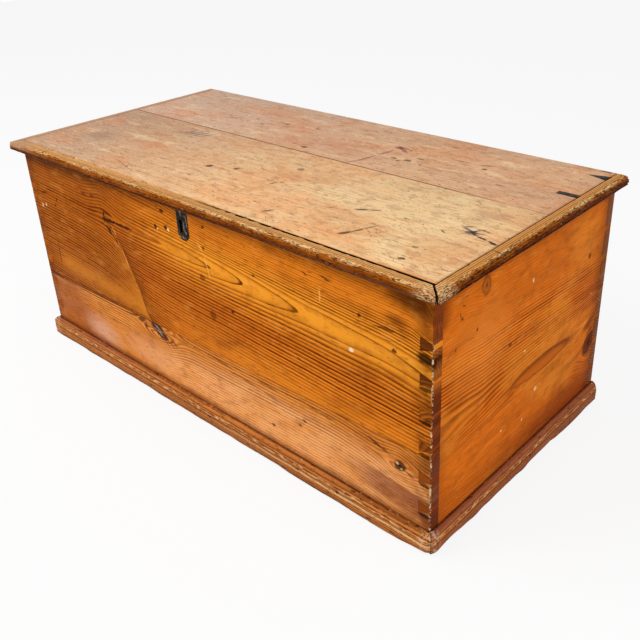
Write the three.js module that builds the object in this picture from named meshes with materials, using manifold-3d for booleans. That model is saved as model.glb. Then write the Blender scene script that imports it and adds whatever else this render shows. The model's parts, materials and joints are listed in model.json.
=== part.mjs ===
// A dovetailed pine blanket chest with a hinged two-board lid, in millimetres, +Z up.
// X runs along the front, +Y points to the back, and the floor is Z = 0.
// The carcase is modelled from its own front face (Y = 0) and centred on its length,
// and the whole chest is then moved so that the origin is the bottom centre of its box.
import * as THREE from 'three';
import { mergeVertices } from 'three/addons/utils/BufferGeometryUtils.js';
import Module from 'manifold-3d';

const wasm = await Module();
wasm.setup();

// Carcase
const caseLength = 1000;
const caseDepth = 492;
const caseHeight = 422;
const frontThickness = 20;
const backThickness = 20;
const sideThickness = 21;
const bottomThickness = 14;
const bottomBoardCount = 5;
const boardGap = 0.5;

// The front and the back are each two boards: the front joint rises to the right.
// The joints stand at shares of the carcase's height.
const frontJointLeftShare = 0.3555;
const frontJointRightShare = 0.4005;
const backJointShare = 0.5592;

// Dovetails: tails on the front and back boards, pins on the side boards
const firstPinBelowTopShare = 0.1777;
const pinPitchShare = 0.128;
const pinRootHeight = 20;
const pinTipHeight = 8;
const bottomPinRootHeight = 16;
const bottomPinTipHeight = 10;
const leastTail = 12;
const dovetailGap = 0.3;

// Base moulding, mitred at the two front corners
const baseHeight = 41;
const baseProjection = 12;
const baseLedge = 2;
const baseRoundHeight = 19;
const baseFootRound = 5;
const baseCornerWear = 9;

// Lid boards
const lidThickness = 15.7;
const lidGap = 0.3;
const lidSeamShare = 0.559;
const lidBoardFrontLeft = 6;
const lidBoardFrontRight = 4;
const lidFrontGapLeft = 0.4;
const lidFrontGapRight = 3;
const lidEndGap = 0.4;

// Lid edge moulding, mitred at the two front corners
const lidOverhang = 21;
const noseRoundWidth = 9;
const noseRoundHeight = 9;
const filletHeight = 3;
const filletSetback = 1.2;
const quirkHeight = 1.2;
const quirkDepth = 2.6;
const closedMitreGap = 0.4;
const openMitreGap = 1.8;
const lidCornerWear = 7;

// Battens screwed across the underside of the lid
const battenWidth = 58;
const battenThickness = 17;
const battenBevel = 6;
const battenFromEnd = 118;
const battenFromFront = 34;
const battenFromBack = 32;

// Butt hinges
const hingeFromEnd = 170;
const hingeLength = 100;
const hingeLeafWidth = 19;
const hingeLeafThickness = 2.5;
const hingeBarrelRadius = 4.5;
const hingePinRadius = 2.2;
const hingePinHeadRadius = 3.4;
const hingePinHeadLength = 1.6;
const hingePinBehindBack = 1;
const knuckleCount = 5;
const knuckleGap = 0.3;
const pinClearance = 0.25;
const seatClearance = 0.3;
const barrelClearance = 0.6;

// Box lock let into the inside of the front board
const lockPlateWidth = 92;
const lockPlateHeight = 70;
const lockPlateThickness = 2;
const lockBoxWidth = 66;
const lockBoxHeight = 60;
const lockBoxDepth = 12.8;
const lockWall = 1.3;
const selvedgeThickness = 2;
const keyPivotBelowTop = 31;
const keyFromCentre = -4;
const keyPostRadius = 1.5;
const keyPostSetback = 3;
const keyholeRadius = 4.5;
const keyholeSlotWidth = 5.4;
const keyholeDrop = 18;
const keyholeEase = 0.8;

// Lock bolt with two hooked fingers
const boltThickness = 4.4;
const boltBarLength = 50;
const boltBarHeight = 7.6;
const boltFingerHeight = 4.4;
const boltFingerReach = 9.5;
const boltHornWidth = 6;
const boltTravel = 8;
const boltTipClearance = 1;
const boltTalonWidth = 8;
const boltTalonDepth = 3.2;
const boltGuideWidth = 7;
const boltGuideHeight = 7;
const boltGuideLip = 4;

// Link plate on the lid's underside, with two loops that drop into the lock.
// The lock is let in lower than the case's top edge, so that the plate has room above it.
const linkPlateWidth = 76;
const linkPlateDepth = 12;
const linkPlateThickness = 2;
const linkPlateFloat = 0.3;
const linkSpacing = 34;
const linkCentre = 6;
const loopThickness = 4;
const loopLeg = 2.4;
const loopFoot = 2.4;
const loopEyeHeight = 8;
const loopFloat = 0.4;
const slotEase = 1;

// Iron escutcheon let into the front
const escutcheonWidth = 29;
const escutcheonHeight = 58;
const escutcheonThickness = 1.4;
const escutcheonBelowTop = 5;
const escutcheonProud = 0.5;
const escutcheonTaper = 9;
const escutcheonTipShare = 0.16;

// Two pieces of iron let into the right end of the rear lid board
const stripLength = 35;
const stripWidth = 13;
const stripDepth = 2.4;
const stripFromBack = 129;
const wedgeLength = 32;
const wedgeWidth = 21;
const wedgeFromBack = 31;
const wedgeTipShare = 0.5;

// Facets and the overrun of every cut
const arcSteps = 9;
const barrelSides = 24;
const boreSides = 20;
const overrun = 6;

// Places that several pieces share
const halfLength = caseLength / 2;
const sideInner = halfLength - sideThickness;
const backInner = caseDepth - backThickness;
const lidBottom = caseHeight + lidGap;
const lidTop = lidBottom + lidThickness;
const hingeAxisY = caseDepth + hingePinBehindBack;
const hingeAxisZ = caseHeight + lidGap / 2;
const frontJointLeft = caseHeight * frontJointLeftShare;
const frontJointRight = caseHeight * frontJointRightShare;
const backJoint = caseHeight * backJointShare;
const lidSeam = caseDepth * lidSeamShare;
const overallDepth = lidOverhang + hingeAxisY + hingeBarrelRadius;
const lockBoxFront = frontThickness - lockPlateThickness - lockBoxDepth;
const lockCavityFront = lockBoxFront + lockWall;
const lockCavityBack = frontThickness - lockPlateThickness;
const lockMiddle = (lockCavityFront + lockCavityBack) / 2;
const selvedgeTop = lidBottom - linkPlateThickness - linkPlateFloat;
const lockBoxTop = selvedgeTop - selvedgeThickness;
const keyPivotZ = caseHeight - keyPivotBelowTop;
const loopDepth = lockCavityBack - lockCavityFront - loopFloat * 2;
const eyeTop = lockBoxTop - selvedgeThickness;
const eyeBottom = eyeTop - loopEyeHeight;
const loopBottom = eyeBottom - loopFoot;
const fingerBottom = (eyeTop + eyeBottom - boltFingerHeight) / 2;
const boltBarTop = loopBottom - boltTipClearance;
const boltBarBottom = boltBarTop - boltBarHeight;
const loopCentres = [linkCentre - linkSpacing / 2, linkCentre + linkSpacing / 2];

const pine = { color: 0xb4652a, roughness: 0.5, metalness: 0 };
const palePine = { color: 0xcf9a63, roughness: 0.55, metalness: 0 };
const rawPine = { color: 0xc49a6c, roughness: 0.8, metalness: 0 };
const iron = { color: 0x2c2825, roughness: 0.55, metalness: 0.8 };

function solid(geometry) {
  const closed = geometry.index ? geometry : mergeVertices(geometry);
  closed.deleteAttribute('normal');
  closed.deleteAttribute('uv');
  const merged = mergeVertices(closed);
  return new wasm.Manifold(new wasm.Mesh({
    numProp: 3,
    vertProperties: new Float32Array(merged.attributes.position.array),
    triVerts: new Uint32Array(merged.index.array),
  }));
}

function extruded(points, depth, basis, offset) {
  const shape = new THREE.Shape(points.map(([u, v]) => new THREE.Vector2(u, v)));
  const geometry = new THREE.ExtrudeGeometry(shape, { depth, bevelEnabled: false });
  geometry.applyMatrix4(new THREE.Matrix4().makeBasis(...basis));
  geometry.translate(...offset);
  return solid(geometry);
}

const X = new THREE.Vector3(1, 0, 0);
const Y = new THREE.Vector3(0, 1, 0);
const Z = new THREE.Vector3(0, 0, 1);

// Outline in (y, z), from x0 to x1
function prismX(points, x0, x1) {
  return extruded(points, x1 - x0, [Y, Z, X], [x0, 0, 0]);
}

// Outline in (x, z), from y0 to y1
function prismY(points, y0, y1) {
  return extruded(points, y1 - y0, [X, Z, Y.clone().negate()], [0, y1, 0]);
}

// Outline in (x, y), from z0 to z1
function prismZ(points, z0, z1) {
  return extruded(points, z1 - z0, [X, Y, Z], [0, 0, z0]);
}

function block([x0, x1], [y0, y1], [z0, z1]) {
  const geometry = new THREE.BoxGeometry(x1 - x0, y1 - y0, z1 - z0);
  geometry.translate((x0 + x1) / 2, (y0 + y1) / 2, (z0 + z1) / 2);
  return solid(geometry);
}

function rodX(radius, [x0, x1], y, z, sides) {
  const geometry = new THREE.CylinderGeometry(radius, radius, x1 - x0, sides);
  geometry.rotateZ(Math.PI / 2);
  geometry.translate((x0 + x1) / 2, y, z);
  return solid(geometry);
}

function rodY(radius, x, [y0, y1], z, sides) {
  const geometry = new THREE.CylinderGeometry(radius, radius, y1 - y0, sides);
  geometry.translate(x, (y0 + y1) / 2, z);
  return solid(geometry);
}

function arc(cu, cv, ru, rv, from, to) {
  return Array.from({ length: arcSteps + 1 }, (_, i) => {
    const angle = from + (to - from) * i / arcSteps;
    return [cu + ru * Math.cos(angle), cv + rv * Math.sin(angle)];
  });
}

function mirrorX(piece) {
  return piece.mirror([1, 0, 0]);
}

function add(group, name, piece, look) {
  const { vertProperties, triVerts } = piece.getMesh();
  const geometry = new THREE.BufferGeometry();
  geometry.setAttribute('position', new THREE.BufferAttribute(vertProperties, 3));
  geometry.setIndex(new THREE.BufferAttribute(triVerts, 1));
  geometry.computeVertexNormals();
  const mesh = new THREE.Mesh(geometry, new THREE.MeshStandardMaterial(look));
  mesh.name = name;
  group.add(mesh);
}

// Dovetails at the right-hand end of the carcase

function pinHeights() {
  const heights = [];
  const lowest = bottomThickness + bottomPinRootHeight + leastTail + pinRootHeight / 2;
  const pitch = caseHeight * pinPitchShare;
  for (let z = caseHeight * (1 - firstPinBelowTopShare); z > lowest; z -= pitch) heights.push(z);
  return heights;
}

// A pin is widest at its root, on the inner face of the side board
function pinOutline(z, grow) {
  const root = pinRootHeight / 2 + grow;
  const tip = pinTipHeight / 2 + grow;
  return flaredOutline([z - root, z + root], [z - tip, z + tip], grow);
}

function bottomPinOutline(grow) {
  const z0 = bottomThickness;
  return flaredOutline(
    [z0, z0 + bottomPinRootHeight + grow], [z0, z0 + bottomPinTipHeight + grow], grow);
}

// Growing a pin into its socket also lengthens both ends along the same slope
function flaredOutline([root0, root1], [tip0, tip1], grow) {
  const ease = grow > 0 ? [dovetailGap, overrun] : [0, 0];
  const slope0 = (tip0 - root0) / sideThickness;
  const slope1 = (tip1 - root1) / sideThickness;
  return [
    [sideInner - ease[0], root0 - slope0 * ease[0]],
    [halfLength + ease[1], tip0 + slope0 * ease[1]],
    [halfLength + ease[1], tip1 + slope1 * ease[1]],
    [sideInner - ease[0], root1 - slope1 * ease[0]],
  ];
}

function pins([y0, y1], grow) {
  const outlines = pinHeights().map((z) => pinOutline(z, grow));
  outlines.push(bottomPinOutline(grow));
  return outlines.map((outline) => prismY(outline, y0, y1)).reduce((a, b) => a.add(b));
}

function cutSockets(board, [y0, y1]) {
  const sockets = pins([y0 - overrun, y1 + overrun], dovetailGap);
  return board.subtract(sockets).subtract(mirrorX(sockets));
}

function rightSideBoard() {
  const middle = block(
    [sideInner, halfLength], [frontThickness, backInner], [bottomThickness, caseHeight]);
  const bite = sideThickness / 2;
  return middle
    .add(pins([0, frontThickness + bite], 0))
    .add(pins([backInner - bite, caseDepth], 0));
}

// Front and back boards

function wallBoard([z0Left, z0Right], [z1Left, z1Right], [y0, y1]) {
  const outline = [
    [-halfLength, z0Left], [halfLength, z0Right], [halfLength, z1Right], [-halfLength, z1Left]];
  return cutSockets(prismY(outline, y0, y1), [y0, y1]);
}

function keyholeOutline(ease) {
  const radius = keyholeRadius + ease;
  const halfSlot = keyholeSlotWidth / 2 + ease;
  const start = -Math.acos(halfSlot / radius);
  const bottom = keyPivotZ - keyholeDrop - ease;
  return [
    [keyFromCentre - halfSlot, bottom],
    [keyFromCentre + halfSlot, bottom],
    ...arc(keyFromCentre, keyPivotZ, radius, radius, start, Math.PI - start),
  ];
}

function escutcheonOutline(ease) {
  const half = escutcheonWidth / 2 + ease;
  const top = caseHeight - escutcheonBelowTop + ease;
  const foot = caseHeight - escutcheonBelowTop - escutcheonHeight - ease;
  const shoulder = foot + escutcheonTaper;
  const tip = escutcheonWidth * escutcheonTipShare;
  return [
    [-half, top], [-half, shoulder], [-tip, foot], [tip, foot], [half, shoulder], [half, top]];
}

function lockRecess() {
  const plateHalf = lockPlateWidth / 2 + seatClearance;
  const boxHalf = lockBoxWidth / 2 + seatClearance;
  const top = caseHeight + overrun;
  const back = frontThickness + overrun;
  const plate = block(
    [-plateHalf, plateHalf], [frontThickness - lockPlateThickness - seatClearance, back],
    [selvedgeTop - lockPlateHeight - seatClearance, top]);
  const box = block(
    [-boxHalf, boxHalf], [lockBoxFront - seatClearance, back],
    [lockBoxTop - lockBoxHeight - seatClearance, top]);
  const selvedge = block(
    [-plateHalf, plateHalf], [lockBoxFront - seatClearance, back],
    [lockBoxTop - seatClearance, top]);
  return plate.add(box).add(selvedge);
}

function frontUpperBoard() {
  const half = boardGap / 2;
  const board = wallBoard(
    [frontJointLeft + half, frontJointRight + half], [caseHeight, caseHeight],
    [0, frontThickness]);
  const plateSeat = prismY(
    escutcheonOutline(seatClearance), -overrun, escutcheonThickness - escutcheonProud + seatClearance);
  const keyhole = prismY(keyholeOutline(keyholeEase), -overrun, frontThickness);
  return board.subtract(lockRecess()).subtract(plateSeat).subtract(keyhole);
}

function frontLowerBoard() {
  const half = boardGap / 2;
  return wallBoard(
    [bottomThickness, bottomThickness], [frontJointLeft - half, frontJointRight - half],
    [0, frontThickness]);
}

function backUpperBoard() {
  const z0 = backJoint + boardGap / 2;
  const board = wallBoard([z0, z0], [caseHeight, caseHeight], [backInner, caseDepth]);
  return hingeCentres().reduce((piece, x) => piece.subtract(caseLeafSeat(x)), board);
}

function backLowerBoard() {
  const z1 = backJoint - boardGap / 2;
  return wallBoard([bottomThickness, bottomThickness], [z1, z1], [backInner, caseDepth]);
}

function bottomBoard(index) {
  const pitch = (caseLength + boardGap) / bottomBoardCount;
  const x0 = -halfLength + index * pitch;
  return block([x0, x0 + pitch - boardGap], [0, caseDepth], [0, bottomThickness]);
}

// Base moulding: a thumb round on top, a small round at the foot

function baseSection() {
  const round = baseProjection - baseLedge;
  return [
    [0, 0],
    ...arc(baseProjection - baseFootRound, baseFootRound, baseFootRound, baseFootRound,
      -Math.PI / 2, 0),
    ...arc(baseLedge, baseHeight - baseRoundHeight, round, baseRoundHeight, 0, Math.PI / 2),
    [0, baseHeight],
  ];
}

// A moulding runs along the front (facing -Y) or along the right-hand end (facing +X).
// Its section is given as (distance out from the face, height).

function frontRun(section, faceY, [x0, x1]) {
  return prismX(section.map(([out, z]) => [faceY - out, z]).reverse(), x0, x1);
}

function rightRun(section, faceX, [y0, y1]) {
  return prismY(section.map(([out, z]) => [faceX + out, z]), y0, y1);
}

// The plan of a moulded edge, with its two front corners worn round
function wornPlan(projection, wear, y1, [z0, z1]) {
  const x = halfLength + projection;
  const turn = Math.PI / 2;
  return prismZ([
    ...arc(-x + wear, -projection + wear, wear, wear, -2 * turn, -turn),
    ...arc(x - wear, -projection + wear, wear, wear, -turn, 0),
    [x, y1], [-x, y1],
  ], z0, z1);
}

// The ground in front of the mitre lines through the two front corners of the case.
// Each line is moved by half of the mitre's gap, measured square to it.
function mitreFront(gap, reach, [z0, z1]) {
  const shift = gap * Math.SQRT1_2;
  const x = halfLength - shift;
  return prismZ([[-x, 0], [-x - reach, -reach], [x + reach, -reach], [x, 0]], z0, z1);
}

function mitreRight(gap, reach, y1, [z0, z1]) {
  const shift = gap * Math.SQRT1_2;
  return prismZ([
    [halfLength - reach, shift + reach], [halfLength + reach, shift - reach],
    [halfLength + reach, y1], [halfLength - reach, y1],
  ], z0, z1);
}

function baseFront() {
  const reach = baseProjection + overrun;
  const span = [-overrun, baseHeight + overrun];
  const run = frontRun(baseSection(), 0, [-halfLength - reach, halfLength + reach]);
  return run
    .intersect(mitreFront(closedMitreGap / 2, reach, span))
    .intersect(wornPlan(baseProjection, baseCornerWear, caseDepth, span));
}

function baseRight() {
  const reach = baseProjection + overrun;
  const span = [-overrun, baseHeight + overrun];
  return rightRun(baseSection(), halfLength, [-reach, caseDepth])
    .intersect(mitreRight(closedMitreGap / 2, reach, caseDepth, span))
    .intersect(wornPlan(baseProjection, baseCornerWear, caseDepth, span));
}

// Lid

function lidFrontBoard() {
  const end = lidEndGap / 2;
  const seam = lidSeam - boardGap / 2;
  const outline = [
    [-halfLength + end, lidBoardFrontLeft], [halfLength - end, lidBoardFrontRight],
    [halfLength - end, seam], [-halfLength + end, seam]];
  return prismZ(outline, lidBottom, lidTop);
}

function lidRearBoard() {
  const end = halfLength - lidEndGap / 2;
  const board = block([-end, end], [lidSeam + boardGap / 2, caseDepth], [lidBottom, lidTop]);
  const seats = hingeCentres().map((x) => lidLeafSeat(x));
  const irons = [
    prismZ(stripOutline(seatClearance), lidTop - stripDepth - seatClearance, lidTop + overrun),
    prismZ(wedgeOutline(seatClearance), lidTop - stripDepth - seatClearance, lidTop + overrun),
  ];
  return [...seats, ...irons].reduce((piece, cut) => piece.subtract(cut), board);
}

// Lid edge: a rounded nose over a quirk and a small square fillet
function lidSection(width) {
  const step = filletHeight + quirkHeight;
  return [
    [0, 0],
    [width - filletSetback, 0],
    [width - filletSetback, filletHeight],
    [width - quirkDepth, filletHeight],
    [width - quirkDepth, step],
    [width, step],
    ...arc(width - noseRoundWidth, lidThickness - noseRoundHeight, noseRoundWidth,
      noseRoundHeight, 0, Math.PI / 2),
    [0, lidThickness],
  ].map(([out, z]) => [out, z + lidBottom]);
}

// The front moulding laps the front board's top edge, and has shrunk away at the right
function lidFrontMoulding() {
  const lap = lidBoardFrontLeft + overrun;
  const reach = lidOverhang + overrun;
  const span = [lidBottom - overrun, lidTop + overrun];
  const left = lidBoardFrontLeft - lidFrontGapLeft;
  const right = lidBoardFrontRight - lidFrontGapRight;
  const plan = prismZ([
    [-halfLength + closedMitreGap, left], [-halfLength + closedMitreGap, 0],
    [-halfLength - reach + closedMitreGap, -reach],
    [halfLength + reach - openMitreGap, -reach], [halfLength - openMitreGap, 0],
    [halfLength - openMitreGap, right],
  ], ...span);
  return frontRun(lidSection(lidOverhang + lap), lap, [-halfLength - reach, halfLength + reach])
    .intersect(plan)
    .intersect(wornPlan(lidOverhang, lidCornerWear, caseDepth, span));
}

function lidRightMoulding() {
  const reach = lidOverhang + overrun;
  const span = [lidBottom - overrun, lidTop + overrun];
  const inner = halfLength + lidEndGap / 2;
  const plan = prismZ([
    [inner, -lidEndGap / 2], [halfLength + reach, -reach],
    [halfLength + reach, caseDepth], [inner, caseDepth],
  ], ...span);
  return rightRun(lidSection(lidOverhang), halfLength, [-reach, caseDepth])
    .intersect(plan)
    .intersect(wornPlan(lidOverhang, lidCornerWear, caseDepth, span));
}

function batten(side) {
  const half = battenWidth / 2;
  const x = side * (halfLength - battenFromEnd);
  const z0 = lidBottom - battenThickness;
  const outline = [
    [x - half, lidBottom], [x - half, z0 + battenBevel], [x - half + battenBevel, z0],
    [x + half - battenBevel, z0], [x + half, z0 + battenBevel], [x + half, lidBottom],
  ];
  return prismY(outline, battenFromFront, caseDepth - battenFromBack);
}

function stripOutline(ease) {
  const x1 = halfLength - lidEndGap;
  const y = caseDepth - stripFromBack;
  const half = stripWidth / 2 + ease;
  const end = x1 + (ease > 0 ? overrun : 0);
  return [[x1 - stripLength - ease, y - half], [end, y - half],
    [end, y + half], [x1 - stripLength - ease, y + half]];
}

function wedgeOutline(ease) {
  const x1 = halfLength - lidEndGap;
  const y = caseDepth - wedgeFromBack;
  const half = wedgeWidth / 2 + ease;
  const end = x1 + (ease > 0 ? overrun : 0);
  const tip = wedgeTipShare * stripDepth + ease;
  return [[x1 - wedgeLength - ease, y - tip], [x1, y - half], [end, y - half],
    [end, y + half], [x1, y + half], [x1 - wedgeLength - ease, y + tip]];
}

function letInIron(outline) {
  return prismZ(outline, lidTop - stripDepth, lidTop);
}

// Hinges, modelled about their own pin at Y = Z = 0

function hingeCentres() {
  return [-halfLength + hingeFromEnd, halfLength - hingeFromEnd];
}

function leafSeat(x, [z0, z1]) {
  const half = hingeLength / 2 + seatClearance;
  const barrelHalf = hingeLength / 2 + knuckleGap + hingePinHeadLength + seatClearance;
  const front = hingeAxisY - hingeLeafWidth - seatClearance;
  const seat = block([x - half, x + half], [front, hingeAxisY + overrun], [z0, z1]);
  const cove = rodX(hingeBarrelRadius + barrelClearance, [x - barrelHalf, x + barrelHalf],
    hingeAxisY, hingeAxisZ, barrelSides);
  return seat.add(cove);
}

function caseLeafSeat(x) {
  const floor = caseHeight - hingeLeafThickness - seatClearance;
  return leafSeat(x, [floor, caseHeight + overrun]);
}

function lidLeafSeat(x) {
  const ceiling = lidBottom + hingeLeafThickness + seatClearance;
  return leafSeat(x, [lidBottom - overrun, ceiling]);
}

function knuckleSpan(index, grow) {
  const pitch = (hingeLength + knuckleGap) / knuckleCount;
  const x0 = -hingeLength / 2 + index * pitch;
  return [x0 - grow, x0 + pitch - knuckleGap + grow];
}

// The carcase leaf holds the even knuckles below the pin, the lid leaf the odd ones above it
function hingeLeaf(isLid) {
  const half = hingeLength / 2;
  const z0 = lidGap / 2;
  const sign = isLid ? 1 : -1;
  const heights = [sign * z0, sign * (z0 + hingeLeafThickness)].sort((a, b) => a - b);
  let leaf = block([-half, half], [-hingeLeafWidth, 0], heights);
  for (let i = 0; i < knuckleCount; i += 1) {
    const own = (i % 2 === 1) === isLid;
    if (own) {
      leaf = leaf.add(rodX(hingeBarrelRadius, knuckleSpan(i, 0), 0, 0, barrelSides));
    }
  }
  for (let i = 0; i < knuckleCount; i += 1) {
    const own = (i % 2 === 1) === isLid;
    const reach = hingeBarrelRadius + knuckleGap;
    if (!own) {
      leaf = leaf.subtract(block(knuckleSpan(i, knuckleGap), [-reach, reach], [-reach, reach]));
    }
  }
  const boreEnd = half + overrun;
  return leaf.subtract(rodX(hingePinRadius + pinClearance, [-boreEnd, boreEnd], 0, 0, boreSides));
}

function hingePin() {
  const half = hingeLength / 2 + knuckleGap;
  const end = half + hingePinHeadLength;
  const profile = [
    [0, -end], [hingePinHeadRadius, -end], [hingePinHeadRadius, -half], [hingePinRadius, -half],
    [hingePinRadius, half], [hingePinHeadRadius, half], [hingePinHeadRadius, end], [0, end],
  ];
  const geometry = new THREE.LatheGeometry(
    profile.map(([r, v]) => new THREE.Vector2(r, v)), boreSides);
  geometry.rotateZ(Math.PI / 2);
  return solid(geometry);
}

// Lock

function loopSlots() {
  const halfThickness = loopThickness / 2 + slotEase;
  return loopCentres
    .map((x) => block([x - halfThickness, x + halfThickness], [lockCavityFront, lockCavityBack],
      [lockBoxTop - overrun, selvedgeTop + overrun]))
    .reduce((a, b) => a.add(b));
}

// Two saddles carry the bolt's bar at its ends and leave the key's way open between them
function boltGuides() {
  const half = boltBarLength / 2;
  const groove = boltThickness / 2 + seatClearance;
  const inner = half - boltGuideWidth;
  const floor = boltBarBottom - seatClearance;
  const z0 = floor - boltGuideHeight + boltGuideLip;
  const span = [lockBoxFront + lockWall / 2, frontThickness - lockPlateThickness / 2];
  const channel = block([-half - overrun, half + overrun], [lockMiddle - groove, lockMiddle + groove],
    [floor, floor + boltGuideHeight]);
  const right = block([inner, half], span, [z0, z0 + boltGuideHeight]);
  return right.add(mirrorX(right)).subtract(channel);
}

function lockCase() {
  const plateHalf = lockPlateWidth / 2;
  const boxHalf = lockBoxWidth / 2;
  const plate = block([-plateHalf, plateHalf], [lockCavityBack, frontThickness],
    [selvedgeTop - lockPlateHeight, selvedgeTop]);
  const selvedge = block([-plateHalf, plateHalf], [lockBoxFront, frontThickness],
    [lockBoxTop, selvedgeTop]);
  const box = block([-boxHalf, boxHalf], [lockBoxFront, frontThickness],
    [lockBoxTop - lockBoxHeight, selvedgeTop]);
  const cavity = block([-boxHalf + lockWall, boxHalf - lockWall],
    [lockCavityFront, lockCavityBack], [lockBoxTop - lockBoxHeight + lockWall, lockBoxTop]);
  const post = rodY(keyPostRadius, keyFromCentre,
    [lockBoxFront + keyPostSetback, frontThickness - lockPlateThickness / 2], keyPivotZ, boreSides);
  return plate.add(selvedge).add(box)
    .subtract(cavity)
    .add(boltGuides())
    .add(post)
    .subtract(loopSlots())
    .subtract(prismY(keyholeOutline(0), lockBoxFront - overrun, lockCavityFront));
}

// The key pushes in the talon cut in the bar's lower edge
function lockBolt() {
  const half = boltBarLength / 2;
  const span = [lockMiddle - boltThickness / 2, lockMiddle + boltThickness / 2];
  const barShift = -boltTravel / 2;
  const talonHalf = boltTalonWidth / 2;
  let bolt = block([-half + barShift, half + barShift], span, [boltBarBottom, boltBarTop]);
  for (const x of loopCentres) {
    const tip = x - loopThickness / 2 - boltTipClearance;
    const horn = tip - boltFingerReach;
    const top = fingerBottom + boltFingerHeight;
    bolt = bolt
      .add(block([horn - boltHornWidth, horn], span, [boltBarBottom, top]))
      .add(block([horn - boltHornWidth, tip], span, [fingerBottom, top]));
  }
  const talon = block([keyFromCentre - talonHalf, keyFromCentre + talonHalf],
    [span[0] - overrun, span[1] + overrun],
    [boltBarBottom - overrun, boltBarBottom + boltTalonDepth]);
  return bolt.subtract(talon);
}

function linkPlate() {
  const half = loopDepth / 2;
  const eyeHalf = half - loopLeg;
  const plateHalf = linkPlateWidth / 2;
  const plateBottom = lidBottom - linkPlateThickness;
  let piece = block([linkCentre - plateHalf, linkCentre + plateHalf],
    [lockMiddle - linkPlateDepth / 2, lockMiddle + linkPlateDepth / 2], [plateBottom, lidBottom]);
  for (const x of loopCentres) {
    const thick = [x - loopThickness / 2, x + loopThickness / 2];
    const loop = block(thick, [lockMiddle - half, lockMiddle + half],
      [loopBottom, plateBottom + linkPlateThickness / 2]);
    const eye = block([thick[0] - overrun, thick[1] + overrun],
      [lockMiddle - eyeHalf, lockMiddle + eyeHalf], [eyeBottom, eyeTop]);
    piece = piece.add(loop).subtract(eye);
  }
  return piece;
}

function escutcheon() {
  const back = escutcheonThickness - escutcheonProud;
  return prismY(escutcheonOutline(0), -escutcheonProud, back)
    .subtract(prismY(keyholeOutline(0), -overrun, overrun));
}

// The chest, as it comes apart on a bench

function carcaseGroup() {
  const group = new THREE.Group();
  add(group, 'front_board_upper', frontUpperBoard(), pine);
  add(group, 'front_board_lower', frontLowerBoard(), pine);
  add(group, 'back_board_upper', backUpperBoard(), pine);
  add(group, 'back_board_lower', backLowerBoard(), pine);
  add(group, 'side_board_right', rightSideBoard(), pine);
  add(group, 'side_board_left', mirrorX(rightSideBoard()), pine);
  for (let i = 0; i < bottomBoardCount; i += 1) {
    add(group, `bottom_board_${i + 1}`, bottomBoard(i), rawPine);
  }
  add(group, 'base_moulding_front', baseFront(), pine);
  add(group, 'base_moulding_right', baseRight(), pine);
  add(group, 'base_moulding_left', mirrorX(baseRight()), pine);
  return group;
}

function lidGroup() {
  const group = new THREE.Group();
  add(group, 'lid_board_front', lidFrontBoard(), palePine);
  add(group, 'lid_board_rear', lidRearBoard(), palePine);
  add(group, 'lid_moulding_front', lidFrontMoulding(), pine);
  add(group, 'lid_moulding_right', lidRightMoulding(), pine);
  add(group, 'lid_moulding_left', mirrorX(lidRightMoulding()), pine);
  add(group, 'lid_batten_left', batten(-1), rawPine);
  add(group, 'lid_batten_right', batten(1), rawPine);
  add(group, 'lid_iron_strip', letInIron(stripOutline(0)), iron);
  add(group, 'lid_iron_wedge', letInIron(wedgeOutline(0)), iron);
  add(group, 'lock_link_plate', linkPlate(), iron);
  return group;
}

function hingeGroup(side, x) {
  const group = new THREE.Group();
  group.position.set(x, hingeAxisY, hingeAxisZ);
  add(group, `hinge_case_leaf_${side}`, hingeLeaf(false), iron);
  add(group, `hinge_lid_leaf_${side}`, hingeLeaf(true), iron);
  add(group, `hinge_pin_${side}`, hingePin(), iron);
  return group;
}

function lockGroup() {
  const group = new THREE.Group();
  add(group, 'lock_case', lockCase(), iron);
  add(group, 'lock_bolt', lockBolt(), iron);
  add(group, 'escutcheon', escutcheon(), iron);
  return group;
}

const chest = new THREE.Group();
chest.position.y = lidOverhang - overallDepth / 2;
chest.add(carcaseGroup(), lidGroup(), lockGroup());
const [leftHinge, rightHinge] = hingeCentres();
chest.add(hingeGroup('left', leftHinge), hingeGroup('right', rightHinge));

export default chest;
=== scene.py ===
"""A pine blanket chest with dovetailed corners, dressed over its solid model.

Lengths are in metres, but marks on a board are placed in millimetres. X runs along the front,
+Y points to the back and the floor is Z = 0. Colours are written as hexadecimal sRGB.
"""

import json
import math

import bmesh
import bpy
from mathutils import Matrix, Vector, noise

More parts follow.
